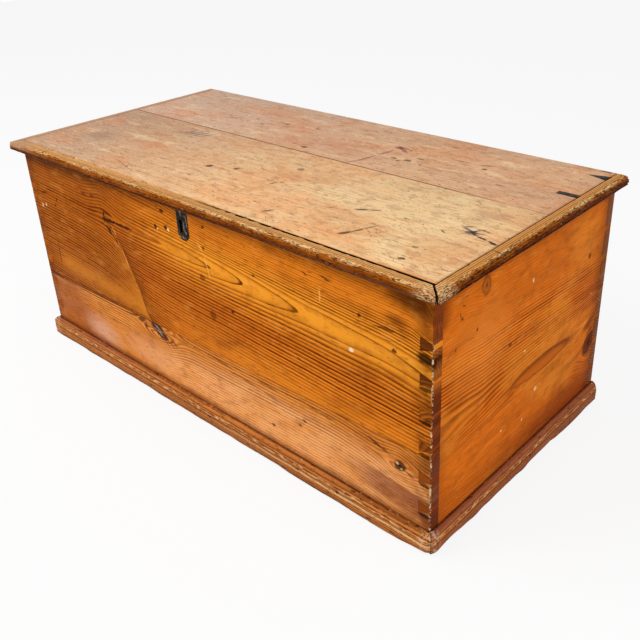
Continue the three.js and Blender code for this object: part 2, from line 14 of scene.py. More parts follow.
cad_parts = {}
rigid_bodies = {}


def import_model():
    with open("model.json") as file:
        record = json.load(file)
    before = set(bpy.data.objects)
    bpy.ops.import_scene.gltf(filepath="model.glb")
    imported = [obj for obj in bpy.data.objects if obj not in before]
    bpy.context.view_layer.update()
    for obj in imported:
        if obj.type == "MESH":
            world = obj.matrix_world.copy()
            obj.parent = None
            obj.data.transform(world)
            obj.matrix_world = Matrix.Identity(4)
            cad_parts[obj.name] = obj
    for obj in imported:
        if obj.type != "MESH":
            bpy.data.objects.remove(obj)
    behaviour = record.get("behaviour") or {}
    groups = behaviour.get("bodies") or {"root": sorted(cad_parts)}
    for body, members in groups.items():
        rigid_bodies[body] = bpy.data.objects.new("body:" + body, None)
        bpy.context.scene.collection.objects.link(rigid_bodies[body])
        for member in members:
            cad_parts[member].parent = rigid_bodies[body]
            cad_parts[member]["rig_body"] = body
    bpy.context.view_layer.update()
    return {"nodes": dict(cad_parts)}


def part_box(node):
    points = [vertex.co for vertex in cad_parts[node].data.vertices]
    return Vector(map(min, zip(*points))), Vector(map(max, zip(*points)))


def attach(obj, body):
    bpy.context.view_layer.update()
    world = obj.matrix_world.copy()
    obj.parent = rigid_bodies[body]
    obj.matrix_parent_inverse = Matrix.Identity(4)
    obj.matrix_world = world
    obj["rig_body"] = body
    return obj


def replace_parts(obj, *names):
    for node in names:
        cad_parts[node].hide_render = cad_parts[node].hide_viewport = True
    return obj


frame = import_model()
NODES = frame["nodes"]
MM = 0.001

# Faces of the carcase and the lid, read from the solid model
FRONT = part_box("front_board_upper")[0].y
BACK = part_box("back_board_upper")[1].y
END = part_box("front_board_upper")[1].x
CASE_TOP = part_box("front_board_upper")[1].z
LID_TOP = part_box("lid_board_front")[1].z
LID_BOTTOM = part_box("lid_board_front")[0].z
LID_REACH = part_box("lid_moulding_right")[1].x - END
BASE_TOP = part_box("base_moulding_front")[1].z
BASE_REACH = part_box("base_moulding_right")[1].x - END


def srgb(code):
    """A colour as it looks, turned into the linear values that a shader takes."""
    shares = [int(code[i:i + 2], 16) / 255 for i in (1, 3, 5)]
    return (*[v / 12.92 if v <= 0.04045 else ((v + 0.055) / 1.055) ** 2.4 for v in shares], 1.0)


def grey(value):
    return (value, value, value, 1.0)


class Value:
    """A number or colour that a node works out at each point, for use in plain sums."""

    def __init__(self, graph, socket):
        self.graph = graph
        self.socket = socket

    def __add__(self, other):
        return self.graph.math("ADD", self, other)

    def __radd__(self, other):
        return self.graph.math("ADD", other, self)

    def __sub__(self, other):
        return self.graph.math("SUBTRACT", self, other)

    def __rsub__(self, other):
        return self.graph.math("SUBTRACT", other, self)

    def __mul__(self, other):
        return self.graph.math("MULTIPLY", self, other)

    def __rmul__(self, other):
        return self.graph.math("MULTIPLY", other, self)

    def __neg__(self):
        return self * -1.0

    def __abs__(self):
        return self.graph.math("ABSOLUTE", self)

    def fraction(self):
        return self.graph.math("FRACT", self)

    def least(self, other):
        return self.graph.math("MINIMUM", self, other)

    def most(self, other):
        return self.graph.math("MAXIMUM", self, other)

    def step(self, low, high, out_low=0.0, out_high=1.0):
        """Goes smoothly from out_low to out_high as the value goes from low to high."""
        node = self.graph.make("ShaderNodeMapRange", interpolation_type="SMOOTHSTEP")
        return self.graph.joined(node, self, low, high, out_low, out_high)

    def bell(self, centre, width):
        """1 at the centre, falling off on both sides of it."""
        t = (self - centre) * (1 / width)
        return self.graph.math("EXPONENT", -(t * t))

    def fading(self, length):
        """1 at no distance, falling off over the length given."""
        return self.graph.math("EXPONENT", self.most(0.0) * (-1 / length))


def most(values):
    total, *others = values
    for value in others:
        total = total.most(value)
    return total


class Graph:
    """The node tree of a material or a world, with short ways to add and join nodes."""

    def __init__(self, owner):
        self.owner = owner
        owner.use_nodes = True
        self.nodes = owner.node_tree.nodes
        self.links = owner.node_tree.links
        self.nodes.clear()

    def make(self, kind, **values):
        node = self.nodes.new(kind)
        for key, value in values.items():
            setattr(node, key, value)
        return node

    def feed(self, socket, value):
        """Gives the socket a node's result, a number or a colour."""
        if isinstance(value, Value):
            self.links.new(value.socket, socket)
        else:
            socket.default_value = srgb(value) if isinstance(value, str) else value

    def output(self, node, key=0):
        return Value(self, node.outputs[key])

    def joined(self, node, *values):
        """Feeds the node's first inputs and gives its first output."""
        for socket, value in zip(node.inputs, values):
            self.feed(socket, value)
        return self.output(node)

    def math(self, operation, *values):
        return self.joined(self.make("ShaderNodeMath", operation=operation), *values)

    def vector(self, x, y, z=0.0):
        return self.joined(self.make("ShaderNodeCombineXYZ"), x, y, z)

    def noise(self, place, scale=1.0, detail=3.0, rough=0.5):
        node = self.make("ShaderNodeTexNoise")
        for key, value in [("Vector", place), ("Scale", scale), ("Detail", detail),
                           ("Roughness", rough)]:
            self.feed(node.inputs[key], value)
        return self.output(node, "Fac")

    def mapped(self, place, at, angle, size):
        """The place as seen from a turned and scaled frame."""
        node = self.make("ShaderNodeMapping", vector_type="TEXTURE")
        return self.joined(node, place, (*at, 0), (0, 0, angle), (*size, 1))

    def ramp(self, value, stops):
        node = self.make("ShaderNodeValToRGB")
        elements = node.color_ramp.elements
        while len(elements) < len(stops):
            elements.new(0.5)
        for element, (place, level) in zip(elements, stops):
            element.position = place
            element.color = grey(level)
        return self.joined(node, value)

    def curve(self, value, stops):
        """A number read from (input, output) pairs, with straight lines between them."""
        low, high = stops[0][0], stops[-1][0]
        bottom = min(v for _, v in stops)
        top = max(v for _, v in stops)
        shares = [((p - low) / (high - low), (v - bottom) / (top - bottom)) for p, v in stops]
        return self.ramp((value - low) * (1 / (high - low)), shares) * (top - bottom) + bottom

    def mix(self, share, a, b, blend="MIX"):
        node = self.make("ShaderNodeMix", data_type="RGBA", blend_type=blend)
        for key, value in [(0, share), (6, a), (7, b)]:
            self.feed(node.inputs[key], value)
        return self.output(node, 2)

    def seen(self):
        """1 for what is seen directly or mirrored, and 0 for what lights the object."""
        path = self.make("ShaderNodeLightPath")
        kinds = ("Camera", "Glossy", "Transmission")
        return most(self.output(path, f"Is {kind} Ray") for kind in kinds)

    def show(self, shader):
        """Joins the shader to the output of the material or the world."""
        kind = type(self.owner).__name__
        self.feed(self.make(f"ShaderNodeOutput{kind}").inputs[0], shader)
        return self.owner


class Surface(Graph):
    """A material. Marks lie on its plane, from its origin."""

    origin = (0.0, 0.0)

    def __init__(self, name):
        super().__init__(bpy.data.materials.new(name))
        self.place = self.output(self.make("ShaderNodeTexCoord"), "Object")
        split = self.make("ShaderNodeSeparateXYZ")
        self.feed(split.inputs[0], self.place)
        self.x, self.y, self.z = [self.output(split, i) for i in range(3)]

    def mark(self, x, y, half_x, half_y, angle=0.0, edge=0.4, plane=None):
        """A soft ellipse, 1 inside and 0 outside. Places and sizes are in millimetres."""
        at = (self.origin[0] + x * MM, self.origin[1] + y * MM)
        place = self.mapped(plane or self.plane, at, angle, (half_x * MM, half_y * MM))
        ball = self.make("ShaderNodeTexGradient", gradient_type="SPHERICAL")
        self.feed(ball.inputs[0], place)
        return self.output(ball, "Fac").step(0.0, edge)

    def line(self, x0, y0, x1, y1, width, edge=0.6):
        """A scratch or crack between two points, thin at both ends, in millimetres."""
        return self.mark((x0 + x1) / 2, (y0 + y1) / 2, math.hypot(x1 - x0, y1 - y0) / 2, width / 2,
                         math.atan2(y1 - y0, x1 - x0), edge)

    def lines(self, items):
        return most(self.line(*item) for item in items)

    def skin(self, colour, roughness, height, depth, **fixed):
        shader = self.make("ShaderNodeBsdfPrincipled")
        bump = self.make("ShaderNodeBump")
        self.feed(bump.inputs["Height"], height)
        self.feed(bump.inputs["Distance"], depth)
        for key, value in [("Base Color", colour), ("Roughness", roughness),
                           ("Normal", self.output(bump)), *fixed.items()]:
            self.feed(shader.inputs[key.replace("_", " ")], value)
        return self.output(shader)


# Pine

# How dark a ring is from its first wood to its last, cut square and cut at a slant
RING = [(0.0, 0.0), (0.28, 0.06), (0.46, 0.40), (0.62, 1.0), (0.92, 1.0), (1.0, 0.0)]
WIDE_RING = [(0.0, 0.0), (0.50, 0.05), (0.80, 0.30), (0.90, 1.0), (0.96, 1.0), (1.0, 0.0)]
RAW = "#C49868"
CREAM = "#ECCDA0"
SOOT = "#26160E"
BROWN = "#5C2C14"
WARM = (1.0, 0.70, 0.42, 1.0)


class Pine(Surface):
    """Growth rings round a pith that runs along the board.

    along, across and depth run along the grain, across the board and in from its face.
    """

    def __init__(self, name, layout, seed):
        super().__init__(name)
        self.along, self.across, self.depth = layout(self)
        self.seed = seed
        self.field = self.across
        # Marks lie on a plane that wavers a little, so their edges look torn
        wobble = self.noise(self.vector(self.along * 120, self.across * 120, seed), 1, 2)
        shift = (wobble - 0.5) * 0.006
        self.plane = self.vector(self.along + shift, self.across + shift)
        self.height = 0.0

    def grain(self, along, across, seed=0.0, detail=2.0, rough=0.5):
        """Noise with its own scale along the grain and across it."""
        place = self.vector(self.along * along, self.across * across, self.seed + seed)
        return self.noise(place, 1, detail, rough)

    def wander(self, scale, size):
        """Lets the grain wander across the board as it runs along it."""
        self.field = self.field + (self.grain(scale, scale * 1.6) - 0.5) * (size * 2)

    def flow_round(self, x, y, reach_x, reach_y, push):
        """Bends the grain round a knot. Places and sizes are in millimetres."""
        t = (self.field - (self.origin[1] + y * MM)) * (1 / (reach_y * MM))
        swell = self.math("DIVIDE", t * 2.0, t * t + 1.0)
        share = self.along.bell(self.origin[0] + x * MM, reach_x * MM)
        self.field = self.field - swell * share * (push * MM)

    def rings(self, pith, below, spacing, taper=0.0, uneven=0.7, straight=0.0, wide=0.0):
        """Sets late, from 0 in the pale early wood to 1 in the dark late wood.

        Where straight is 1 the rings are so wide that they cross the board as plain lines.
        Where wide is 1 the board cuts the rings at a slant and shows only thin dark edges.
        """
        across = self.field - pith
        down = self.depth + self.along * taper + below
        radius = self.math("SQRT", across * across + down * down)
        radius = radius + (across - radius) * straight
        waver = self.noise(self.vector(radius * 60, self.along * 0.7, self.seed), 1, 2)
        phase = radius * (1 / spacing) + waver * uneven
        chance = self.make("ShaderNodeTexWhiteNoise", noise_dimensions="1D")
        self.feed(chance.inputs["W"], self.math("FLOOR", phase) + self.seed)
        self.chance = self.output(chance)
        part = phase.fraction()
        thick = self.ramp(part, RING)
        thick = thick + (self.ramp(part, WIDE_RING) - thick) * wide
        broken = self.noise(self.vector(self.along * 22, self.field * 300, self.seed), 1, 2)
        self.late = thick * broken.step(0.25, 0.60, 0.70, 1.0)

    def cloud(self, scale, stretch=3.0, detail=3.0, shift=0.0):
        """Soft patches, stretched along the grain."""
        return self.grain(scale, scale * stretch, shift, detail, 0.55)

    def blot(self, scale, stretch, detail, shift, low, high, share, colour):
        """Colours the soft patches of a cloud."""
        self.layer(self.cloud(scale, stretch, detail, shift).step(low, high) * share, colour)

    def tone(self, early, late, deep, contrast=0.8, patch=0.45, fibre=0.3):
        """Colours the rings, then adds patches and fine streaks along the grain."""
        self.colour = self.mix(self.late * (self.chance * 0.55 + 0.62) * contrast, early, late)
        self.layer(self.cloud(3.0).step(0.38, 0.72) * patch, deep)
        place = self.vector(self.along * 10, self.field * 650, self.depth * 650)
        streak = self.noise(place, 1, 3, 0.6).step(0.38, 0.72)
        self.layer(streak * fibre, grey(0.55), "MULTIPLY")
        self.height = self.late * 0.30 + streak * -0.18

    def layer(self, share, colour, blend="MIX"):
        self.colour = self.mix(share, self.colour, colour, blend)

    def dent(self, found, share, colour, depth):
        """Colours the places that were found and sinks them into the wood."""
        self.layer(found * share, colour)
        self.height = self.height - found * depth

    def knot(self, x, y, half_x, half_y, rim, middle, angle=0.0, strength=1.0):
        """A dark rim, paler wood inside it and a dark core. Sizes are in millimetres."""
        sizes = [(1.35, 1.35, 0.4), (1, 1, 0.3), (0.45, 0.4, 0.7)]
        outer, inner, core = [self.mark(x, y, half_x * long, half_y * wide, angle, edge)
                              for long, wide, edge in sizes]
        self.layer(outer * (0.9 * strength), rim)
        self.layer(inner * (0.7 * strength), middle)
        self.dent(core, 0.85 * strength, rim, 0.5)

    def flecks(self, share, colour, seed=0.0, along=45, across=420, low=0.70, high=0.76, dent=0.4):
        """Short dashes along the grain: resin ducts, pores and small dents."""
        self.dent(self.grain(along, across, seed).step(low, high), share, colour, dent)

    def scratches(self, angle, share, colour, seed, low=0.66, high=0.72, along=16, across=620):
        """Thin scratches that all run at about one angle to the grain."""
        place = self.mapped(self.plane, (seed, seed), angle, (1 / along, 1 / across))
        self.dent(self.noise(place, 1, 2).step(low, high), share, colour, 0.5)

    def crack(self, items, colour=SOOT, share=0.9, depth=1.2):
        self.dent(self.lines(items), share, colour, depth)

    def spots(self, items, colour=SOOT, share=0.9, depth=1.0):
        self.dent(most(self.mark(*item) for item in items), share, colour, depth)

    def worn(self, distance, colour, width=0.003, amount=0.8, grain=220, low=0.48, high=0.62):
        """Pale, rubbed wood close to an arris, in broken patches."""
        place = self.vector(self.x * grain, self.y * grain, self.z * grain)
        broken = self.noise(place, 1, 3, 0.6).step(low, high)
        self.layer(distance.step(width, width * 0.25) * broken * amount, colour)

    def wax(self, rough=0.42, depth=0.0008, gloss=0.04):
        roughness = rough + (self.cloud(6.0, 2.0, 3.0, 9.0) - 0.5) * 0.25 + self.late * -0.06
        return self.show(self.skin(self.colour, roughness, self.height, depth,
                                   Specular_IOR_Level=gloss, Specular_Tint=WARM))


# Looks. Each facing gives a point's places along and across its board, and its depth in it

def facing_front(g):
    return g.x, g.z, g.y - FRONT


def facing_back(g):
    return g.x, g.z, BACK - g.y


def facing_right(g):
    return g.y, g.z, END - g.x


def facing_left(g):
    return g.y, g.z, g.x + END


def facing_up(g):
    return g.x, g.y, LID_TOP - g.z


def facing_down(g):
    return g.y, g.x, g.z


CASE_EARLY = "#FE8F25"
CASE_LATE = "#3A0E01"
CASE_DEEP = "#A64A10"
END_GRAIN = "#783812"
RED_BROWN = "#823616"

# A thin line and the skin of a sawn end are gone at the first distance and full at the second
THIN = (0.0011, 0.0004)


def raw_inside(pine, thickness, from_end=None):
    """Inside the chest the wood has never been finished. from_end keeps it off the joints."""
    inside = pine.depth.step(thickness * 0.9, thickness * 0.97)
    if from_end is not None:
        inside = inside * from_end.step(0.0206, 0.0214)
    pine.layer(inside * 0.9, RAW)
    pine.layer(inside * pine.late * 0.35, "#966238")


def end_grain(pine, distance, colour=END_GRAIN, share=0.86, rings=0.45):
    """Sawn ends are darker, and their rings show as arcs."""
    found = distance.step(*THIN)
    uneven = pine.cloud(55, 1.0, 3.0, 2.0).step(0.3, 0.6, 0.55, 1.0)
    pine.layer(found * uneven * share, colour)
    pine.layer(found * pine.late * rings, "#3A1A0A")


def joint_dirt(pine, strength):
    """Dirt in the slanting joint between the two front boards, heavier to the left of the knot, and a
    painted shadow line just above the joint on the left.
    """
    above = pine.z - (pine.x * 0.019 + 0.1595)
    left = pine.x.step(-0.09, -0.17)
    pine.layer(abs(above).step(0.0022, 0.0006) * (left * 0.62 + 0.3) * strength, "#2E1206")
    # A painted shadow line just above the joint, on the left only
    pine.layer(abs(above - 0.0048).step(0.0014, 0.0004) * left * 0.8, "#3C1406")


def front_upper_look():
    pine = Pine("pine_front_upper", facing_front, 3.0)
    # The grain breaks along a feather that climbs to the left from the large knot
    feather = pine.curve(pine.z, [(0.140, -0.125), (0.174, -0.148), (0.216, -0.160), (0.278, -0.190),
                                  (0.304, -0.205), (0.331, -0.236), (0.350, -0.242), (0.430, -0.245)])
    to_right = pine.x - feather
    right = to_right.step(-0.002, 0.002)
    front_upper_grain(pine, to_right, right)
    front_upper_bands(pine)
    feather_edges(pine, to_right, right)
    front_upper_marks(pine)
    joint_dirt(pine, 0.9)
    finish_front(pine)
    # The wood inside the keyhole is painted black as shade
    hole = abs(pine.x + 0.004).step(0.0085, 0.0075) * pine.z.step(0.366, 0.368)
    pine.layer(hole * pine.depth.step(0.001, 0.0016), "#0E0C0C")
    return pine.wax(0.40, gloss=0.004)


def front_upper_grain(pine, to_right, right):
    """Rings that bend towards the feather from both sides."""
    x, z = pine.x, pine.z
    left = 1.0 - right
    bend = left * (-to_right).fading(0.05) * 0.046 + right * to_right.fading(0.05) * -0.012
    hump = x.bell(-0.238, 0.042) * z.step(0.318, 0.362) * -0.011
    # It dips at the right-hand end, and turns down round a knot at the top corner
    dip = x.step(0.4, 0.53) * z.bell(0.29, 0.05) * 0.016
    turn = x.step(0.462, 0.502) * z.bell(0.385, 0.03) * 0.026
    pine.field = pine.field + bend * z.step(0.35, 0.235) + hump + (dip + turn) + x * 0.055
    pine.field = pine.field + (pine.field - 0.352).most(0.0) * x.step(-0.1, 0.1, 0.0, 0.6)
    pine.wander(2.2, 0.005)
    pine.wander(9.0, 0.0016)
    # The surface leaves the pith slowly to the right, so the rings close in long tips
    pith = 0.331
    below = pine.curve(x, [(-0.52, 0.002), (-0.25, 0.002), (-0.06, 0.0105), (0.063, 0.0165),
                           (0.140, 0.0225), (0.261, 0.0292), (0.52, 0.0345)])
    high = z.step(0.345, 0.352)
    straight = left * (1.0 - high) + x.step(-0.2, -0.28) * high
    wide = (pine.field - pith).bell(0.0, 0.022) * x.step(-0.12, 0.0)
    pine.rings(pith, below, 0.0062, straight=straight, wide=wide)
    plain_top = z.step(0.345, 0.378) * x.step(0.0, 0.15, 0.34, 0.52)
    plain = plain_top + z.step(0.208, 0.178) * x.step(-0.14, -0.03) * 0.42
    pine.tone(CASE_EARLY, CASE_LATE, CASE_DEEP, 0.97 - plain, patch=0.35, fibre=0.5)


def front_upper_bands(pine):
    """Bands of other colours, along the grain."""
    x, z = pine.x, pine.z
    tilt = z + x * 0.06
    golden = tilt.bell(0.334, 0.04) * x.step(-0.2, 0.02)
    pine.layer(golden * (1.0 - pine.late * 0.9) * 0.62, "#FEAC32")
    red = tilt.bell(0.255, 0.055) * x.step(-0.22, -0.12)
    pine.layer(red * x.step(0.3, 0.05, 0.12, 0.44), "#90380A")
    pine.layer(tilt.bell(0.185, 0.028) * x.step(-0.1, 0.02) * 0.35, "#D6822A")
    pine.layer(x.step(-0.06, -0.28, 0.0, 0.56), "#702E04")
    pine.blot(7.0, 2.4, 3.0, 6.0, 0.54, 0.72, 0.34, "#7A2E0A")
    lit = tilt.bell(0.172, 0.022) * x.step(-0.12, -0.16) * x.step(-0.47, -0.4)
    pine.layer(lit * 0.55, "#DE882C")


def feather_edges(pine, to_right, right):
    """Painted shade along the right of the feather and a painted highlight along its left, with cracks
    in it.
    """
    z = pine.z
    left = 1.0 - right
    # Painted shade to the right of the feather, and a painted highlight to its left
    pine.layer(to_right.fading(0.02) * right * z.step(0.34, 0.29) * 0.66, "#60220C")
    pine.layer((-to_right).fading(0.016) * left * z.step(0.3, 0.25) * 0.55, "#E48C2C")
    pine.crack([(-252, 335.5, -200, 337.8, 7.5, 0.3), (-212, 337.4, -149, 336.6, 6, 0.3),
                (-238.5, 356, -242, 326, 7), (-240.5, 328.5, -217, 305, 8), (-226, 314, -199, 289, 5)])
    pine.crack([(-222, 330, -206, 308, 4), (-203, 300, -180, 250, 3)], "#ECA85A", 0.6, 0.0)


def front_upper_marks(pine):
    """Dents, bruises, cracks and white spots, and painted shade under the lid."""
    x, z = pine.x, pine.z
    pine.spots([(-54, 398, 7, 4), (-49, 369, 6, 4), (-78, 364, 5, 6), (52, 397, 4.5, 4),
                (48, 359, 4, 3.5), (437, 319, 5, 4.5), (165, 346, 3, 3), (376, 352, 4, 3),
                (105, 262, 4, 3)], share=0.85)
    pine.spots([(53, 238, 9, 11), (36, 303, 8, 8), (-300, 372, 10, 5), (-270, 375, 8, 4)],
               "#5C240A", 0.6, 0.3)
    pine.crack([(-436, 256, -442, 174, 5)], "#461C08", 0.7, 0.3)
    pine.crack([(395, 345, 447, 349, 6), (300, 392, 330, 386, 5), (268, 386, 284, 382, 4)],
               SOOT, 0.75, 0.8)
    # The eye of a small knot at the left-hand end
    pine.crack([(-474, 336, -436, 344, 7), (-480, 324, -440, 330, 3)], "#50220A", 0.75, 0.3)
    pine.spots([(-408, 335, 3, 4), (-416, 321, 3, 4)], share=0.75)
    pine.spots([(360, 291, 6, 4.5), (-42, 367, 4, 4), (-73, 361, 2, 2), (-469, 310, 3, 5),
                (-455, 313, 3, 4)], "#FAE2BE", 0.9, 0.6)
    pine.crack([(46, 352, 58, 300, 4), (30, 372, 48, 345, 3), (303, 372, 304, 344, 3)],
               "#FFC460", 0.6, 0.1)
    # Painted shade under the lid's overhang, heavier at both ends, and a dark smear below it at the
    # right-hand end
    painted_shade = z.step(0.384, 0.42) * x.step(-0.05, -0.45, 0.42, 0.85)
    pine.layer(painted_shade.most(pine.mark(468, 402, 80, 30, -0.1, 0.9) * 0.85), "#401A08")
    pine.layer(pine.mark(440, 366, 30, 14, -0.1, 0.9) * 0.7, "#5C280C")


def finish_front(pine):
    """What both front boards share: fine flecks, worn arrises, the inside and the ends."""
    z = pine.z
    pine.blot(30, 1.7, 5.0, 13.0, 0.5, 0.68, 0.26, "#74300A")
    pine.blot(22, 2.4, 5.0, 17.0, 0.54, 0.7, 0.16, "#FFB254")
    pine.flecks(0.6, "#461A06", 0.0, 50, 420, 0.64, 0.71)
    pine.flecks(0.55, "#381406", 5.0, 130, 300, 0.69, 0.74)
    pine.flecks(0.45, "#FCBE60", 9.0, 60, 520, 0.7, 0.76, 0.0)
    out_x = END - abs(pine.x)
    shown = pine.x.step(0.0, 0.1)
    end_grain(pine, out_x, RED_BROWN, 0.80)
    # Ends of the tails at the right-hand corner: wavy and red on top, then amber, then dark
    found = out_x.step(*THIN) * shown
    top = z.step(0.342, 0.352)
    amber = z.step(0.268, 0.292) * (1.0 - top)
    pine.layer(found * amber * (pine.late * -0.5 + 1.0) * 0.85, "#CC762E")
    pine.layer(found * top * 0.85, "#AC5422")
    sway = pine.noise(pine.vector(z * 34, pine.depth * 60, 2.0), 1, 2)
    dark_line = (pine.depth * 260 + sway * 3.0).fraction().bell(0.5, 0.2)
    pine.layer(found * z.step(0.29, 0.3) * dark_line * 0.7, "#58200A")
    pine.layer(found * z.step(0.292, 0.268) * 0.55, "#702C18")
    black = pine.mark(3, 322, 6, 10, edge=0.5, plane=pine.vector(pine.y - FRONT, z))
    pine.layer(black * out_x.step(0.006, 0.0) * shown * 0.85, SOOT)
    edge = out_x.step(0.04, 0.008) * pine.cloud(30, 1.0).step(0.34, 0.58)
    pine.layer(edge * 0.55, "#542208")
    # Painted shade in dark rims under the pins
    pine.spots([(489, pin - 13, 13, 4.5) for pin in (293, 239, 184, 132, 77)], "#281006", 0.8, 0.3)
    pine.layer(pine.mark(488, 327, 18, 12, edge=0.5) * 0.9, "#281106")
    rubbed = pine.depth.step(0.003, 0.001) * z.step(0.362, 0.345) * 0.85
    pine.worn(out_x + pine.depth.most(0.0), CREAM, 0.0032, rubbed)
    raw_inside(pine, 0.020, out_x)


def front_lower_look():
    pine = Pine("pine_front_lower", facing_front, 7.0)
    x, z = pine.x, pine.z
    pine.wander(2.0, 0.006)
    pine.flow_round(-118, 146, 55, 18, 28)
    pine.flow_round(446, 133, 30, 12, 14)
    pine.field = pine.field + x.step(0.3, 0.5) * 0.018
    pine.rings(0.310, 0.060, 0.0056, taper=0.02)
    plain = z.step(0.135, 0.09) * 0.58
    pine.tone("#F2963C", "#6E2C0C", "#BE6226", 0.85 - plain, patch=0.3, fibre=0.45)
    # A reddish figure runs slantwise through the plain wood
    slant = pine.noise(pine.vector((x + z * 1.6) * 34, z * 60, 4.0), 1, 3)
    pine.layer(slant.step(0.5, 0.68) * z.step(0.13, 0.095) * 0.35, "#B05428")
    pine.layer((x + z * 0.8).step(-0.21, -0.33) * 0.7, "#9C4810")
    # Painted sheen: pale reflections of the wax, painted into the colour
    pine.layer(pine.mark(-322, 70, 90, 44, -0.1, 0.9) * 0.66, "#E2AC8E")
    pine.layer(pine.mark(-150, 78, 130, 50, edge=0.9) * 0.4, "#E8A87C")
    painted_sheen = pine.mark(220, 82, 500, 74, edge=0.6) * 0.84
    even = pine.cloud(16, 2.2, 4.0, 3.0).step(0.3, 0.62, 0.45, 1.0)
    pine.layer(painted_sheen * even * (1.0 - pine.late * 0.7), "#FFBA7C")
    # A painted shadow with a sharp upper edge near the right-hand end
    slope = z + (x - 0.4) * 0.1
    painted_shade = slope.step(0.104, 0.098) * slope.step(0.05, 0.066) * x.step(0.33, 0.42)
    pine.layer(painted_shade * pine.cloud(20, 2.0).step(0.25, 0.55, 0.6, 1.0) * 0.8, "#8A462E")
    pine.layer(z.step(0.054, 0.042) * 0.5, "#783416")
    front_lower_marks(pine)
    joint_dirt(pine, 0.8)
    finish_front(pine)
    return pine.wax(0.34, gloss=0.02)


def front_lower_marks(pine):
    # Grey-brown streaks just under the joint, to the right of the large knot
    pine.crack([(-80, 150, 20, 146, 4), (20, 150, 100, 145, 5), (60, 139, 160, 136, 5),
                (140, 150, 210, 148, 5), (160, 133, 200, 130, 4), (250, 152, 330, 150, 4)],
               "#542A14", 0.65, 0.3)
    pine.knot(-118, 146, 25, 10.5, "#28120A", "#542E22", -0.52)
    pine.crack([(-134, 157, -106, 141, 4), (-126, 148, -103, 134, 3), (-136, 149, -120, 140, 2.4)],
               "#C4A896", 0.7, 0.2)
    pine.crack([(-100, 138, -72, 120, 5), (-104, 131, -86, 116, 4), (-90, 140, -58, 128, 4),
                (-150, 152, -180, 158, 5)], "#683016", 0.65, 0.2)
    pine.spots([(-172, 150, 11, 6), (-160, 143, 7, 4)], "#3A1A0C", 0.8, 0.3)
    # The small knot at the right-hand end, with cracks on both sides
    pine.knot(446, 131, 10, 8, "#1E0E08", "#684224", 0.3)
    pine.spots([(441, 134, 4, 3), (449, 127, 3, 2)], "#E2BA82", 0.8, 0.2)
    pine.crack([(375, 158, 437, 139, 5), (250, 120, 262, 116, 6), (452, 128, 474, 120, 5)],
               SOOT, 0.8, 0.7)
    pine.spots([(180, 75, 6, 3), (245, 105, 4, 3)], SOOT, 0.7)


def side_look(name, layout, seed, shown):
    """shown is the right-hand board, which has the marks that can be seen."""
    pine = Pine(name, layout, seed)
    pine.origin = (FRONT, 0.0)
    y, z = pine.y - FRONT, pine.z
    pine.field = pine.field + (y * 0.055 + (y - 0.3) * z.bell(0.17, 0.045) * -0.165)
    pine.wander(1.3, 0.0035)
    pine.flow_round(460, 142, 34, 18, 14)
    pine.flow_round(118, 395, 26, 14, 8)
    # The rings close round a lens low on the board
    below = pine.curve(y, [(-0.02, 0.0125), (0.19, 0.0125), (0.29, 0.0050), (0.39, 0.0125),
                           (0.50, 0.0190)])
    pine.rings(0.187, below, 0.0054, uneven=0.5, wide=0.25)
    zone = pine.curve(z - y * 0.03, [(0.04, 0.60), (0.13, 0.50), (0.17, 0.75), (0.20, 1.10),
                                     (0.285, 1.10), (0.315, 0.34), (0.365, 0.24), (0.43, 0.70)])
    pine.tone("#FE8422", "#541802", "#963C08", zone, patch=0.44, fibre=0.6)
    smooth = pine.cloud(7.0, 2.0, 3.0, 3.0).step(0.35, 0.65, 0.3, 0.7)
    pine.layer(z.step(0.29, 0.34) * smooth, "#C4641A")
    pine.blot(5.0, 1.4, 4.0, 7.0, 0.46, 0.62, 0.46, "#F0922E")
    pine.blot(12.0, 3.0, 5.0, 5.0, 0.5, 0.7, 0.36, "#7E320A")
    pine.blot(36, 1.6, 5.0, 13.0, 0.5, 0.66, 0.22, "#78300C")
    pine.blot(26, 2.4, 5.0, 17.0, 0.54, 0.7, 0.16, "#FFB054")
    if shown:
        side_marks(pine, y, z)
    # Painted shade along the top, under the lid moulding
    pine.layer(z.step(0.388, 0.422) * 0.55, "#582208")
    pine.layer(z.step(0.12, 0.043) * y.step(0.05, 0.4, 0.35, 0.65), "#7E3014")
    pine.flecks(0.5, "#501E08", 0.0, 50, 400, 0.67, 0.74)
    pine.flecks(0.4, "#FAB054", 9.0, 60, 520, 0.7, 0.76, 0.0)
    pine.layer(y.step(0.44, 0.488) * 0.6, "#58220A")
    # The pins' outer faces, amber above and dark below
    face = pine.depth.step(0.0012, 0.0006)
    strip = face * y.step(0.02, 0.0192)
    pine.layer(strip * z.step(0.32, 0.33) * 0.85, "#E28E32")
    pine.layer(strip * z.step(0.27, 0.25) * 0.8, "#722E18")
    ends = y.least(BACK - pine.y)
    end_grain(pine, ends, "#3E1D0D", z.step(0.2, 0.3, 0.45, 0.92) if shown else 0.45, 0.3)
    pine.worn(pine.depth.most(0.0) + y, CREAM, 0.0032, face * z.step(0.362, 0.345) * 0.85)
    raw_inside(pine, 0.021, ends)
    return pine.wax(0.42, gloss=0.004)


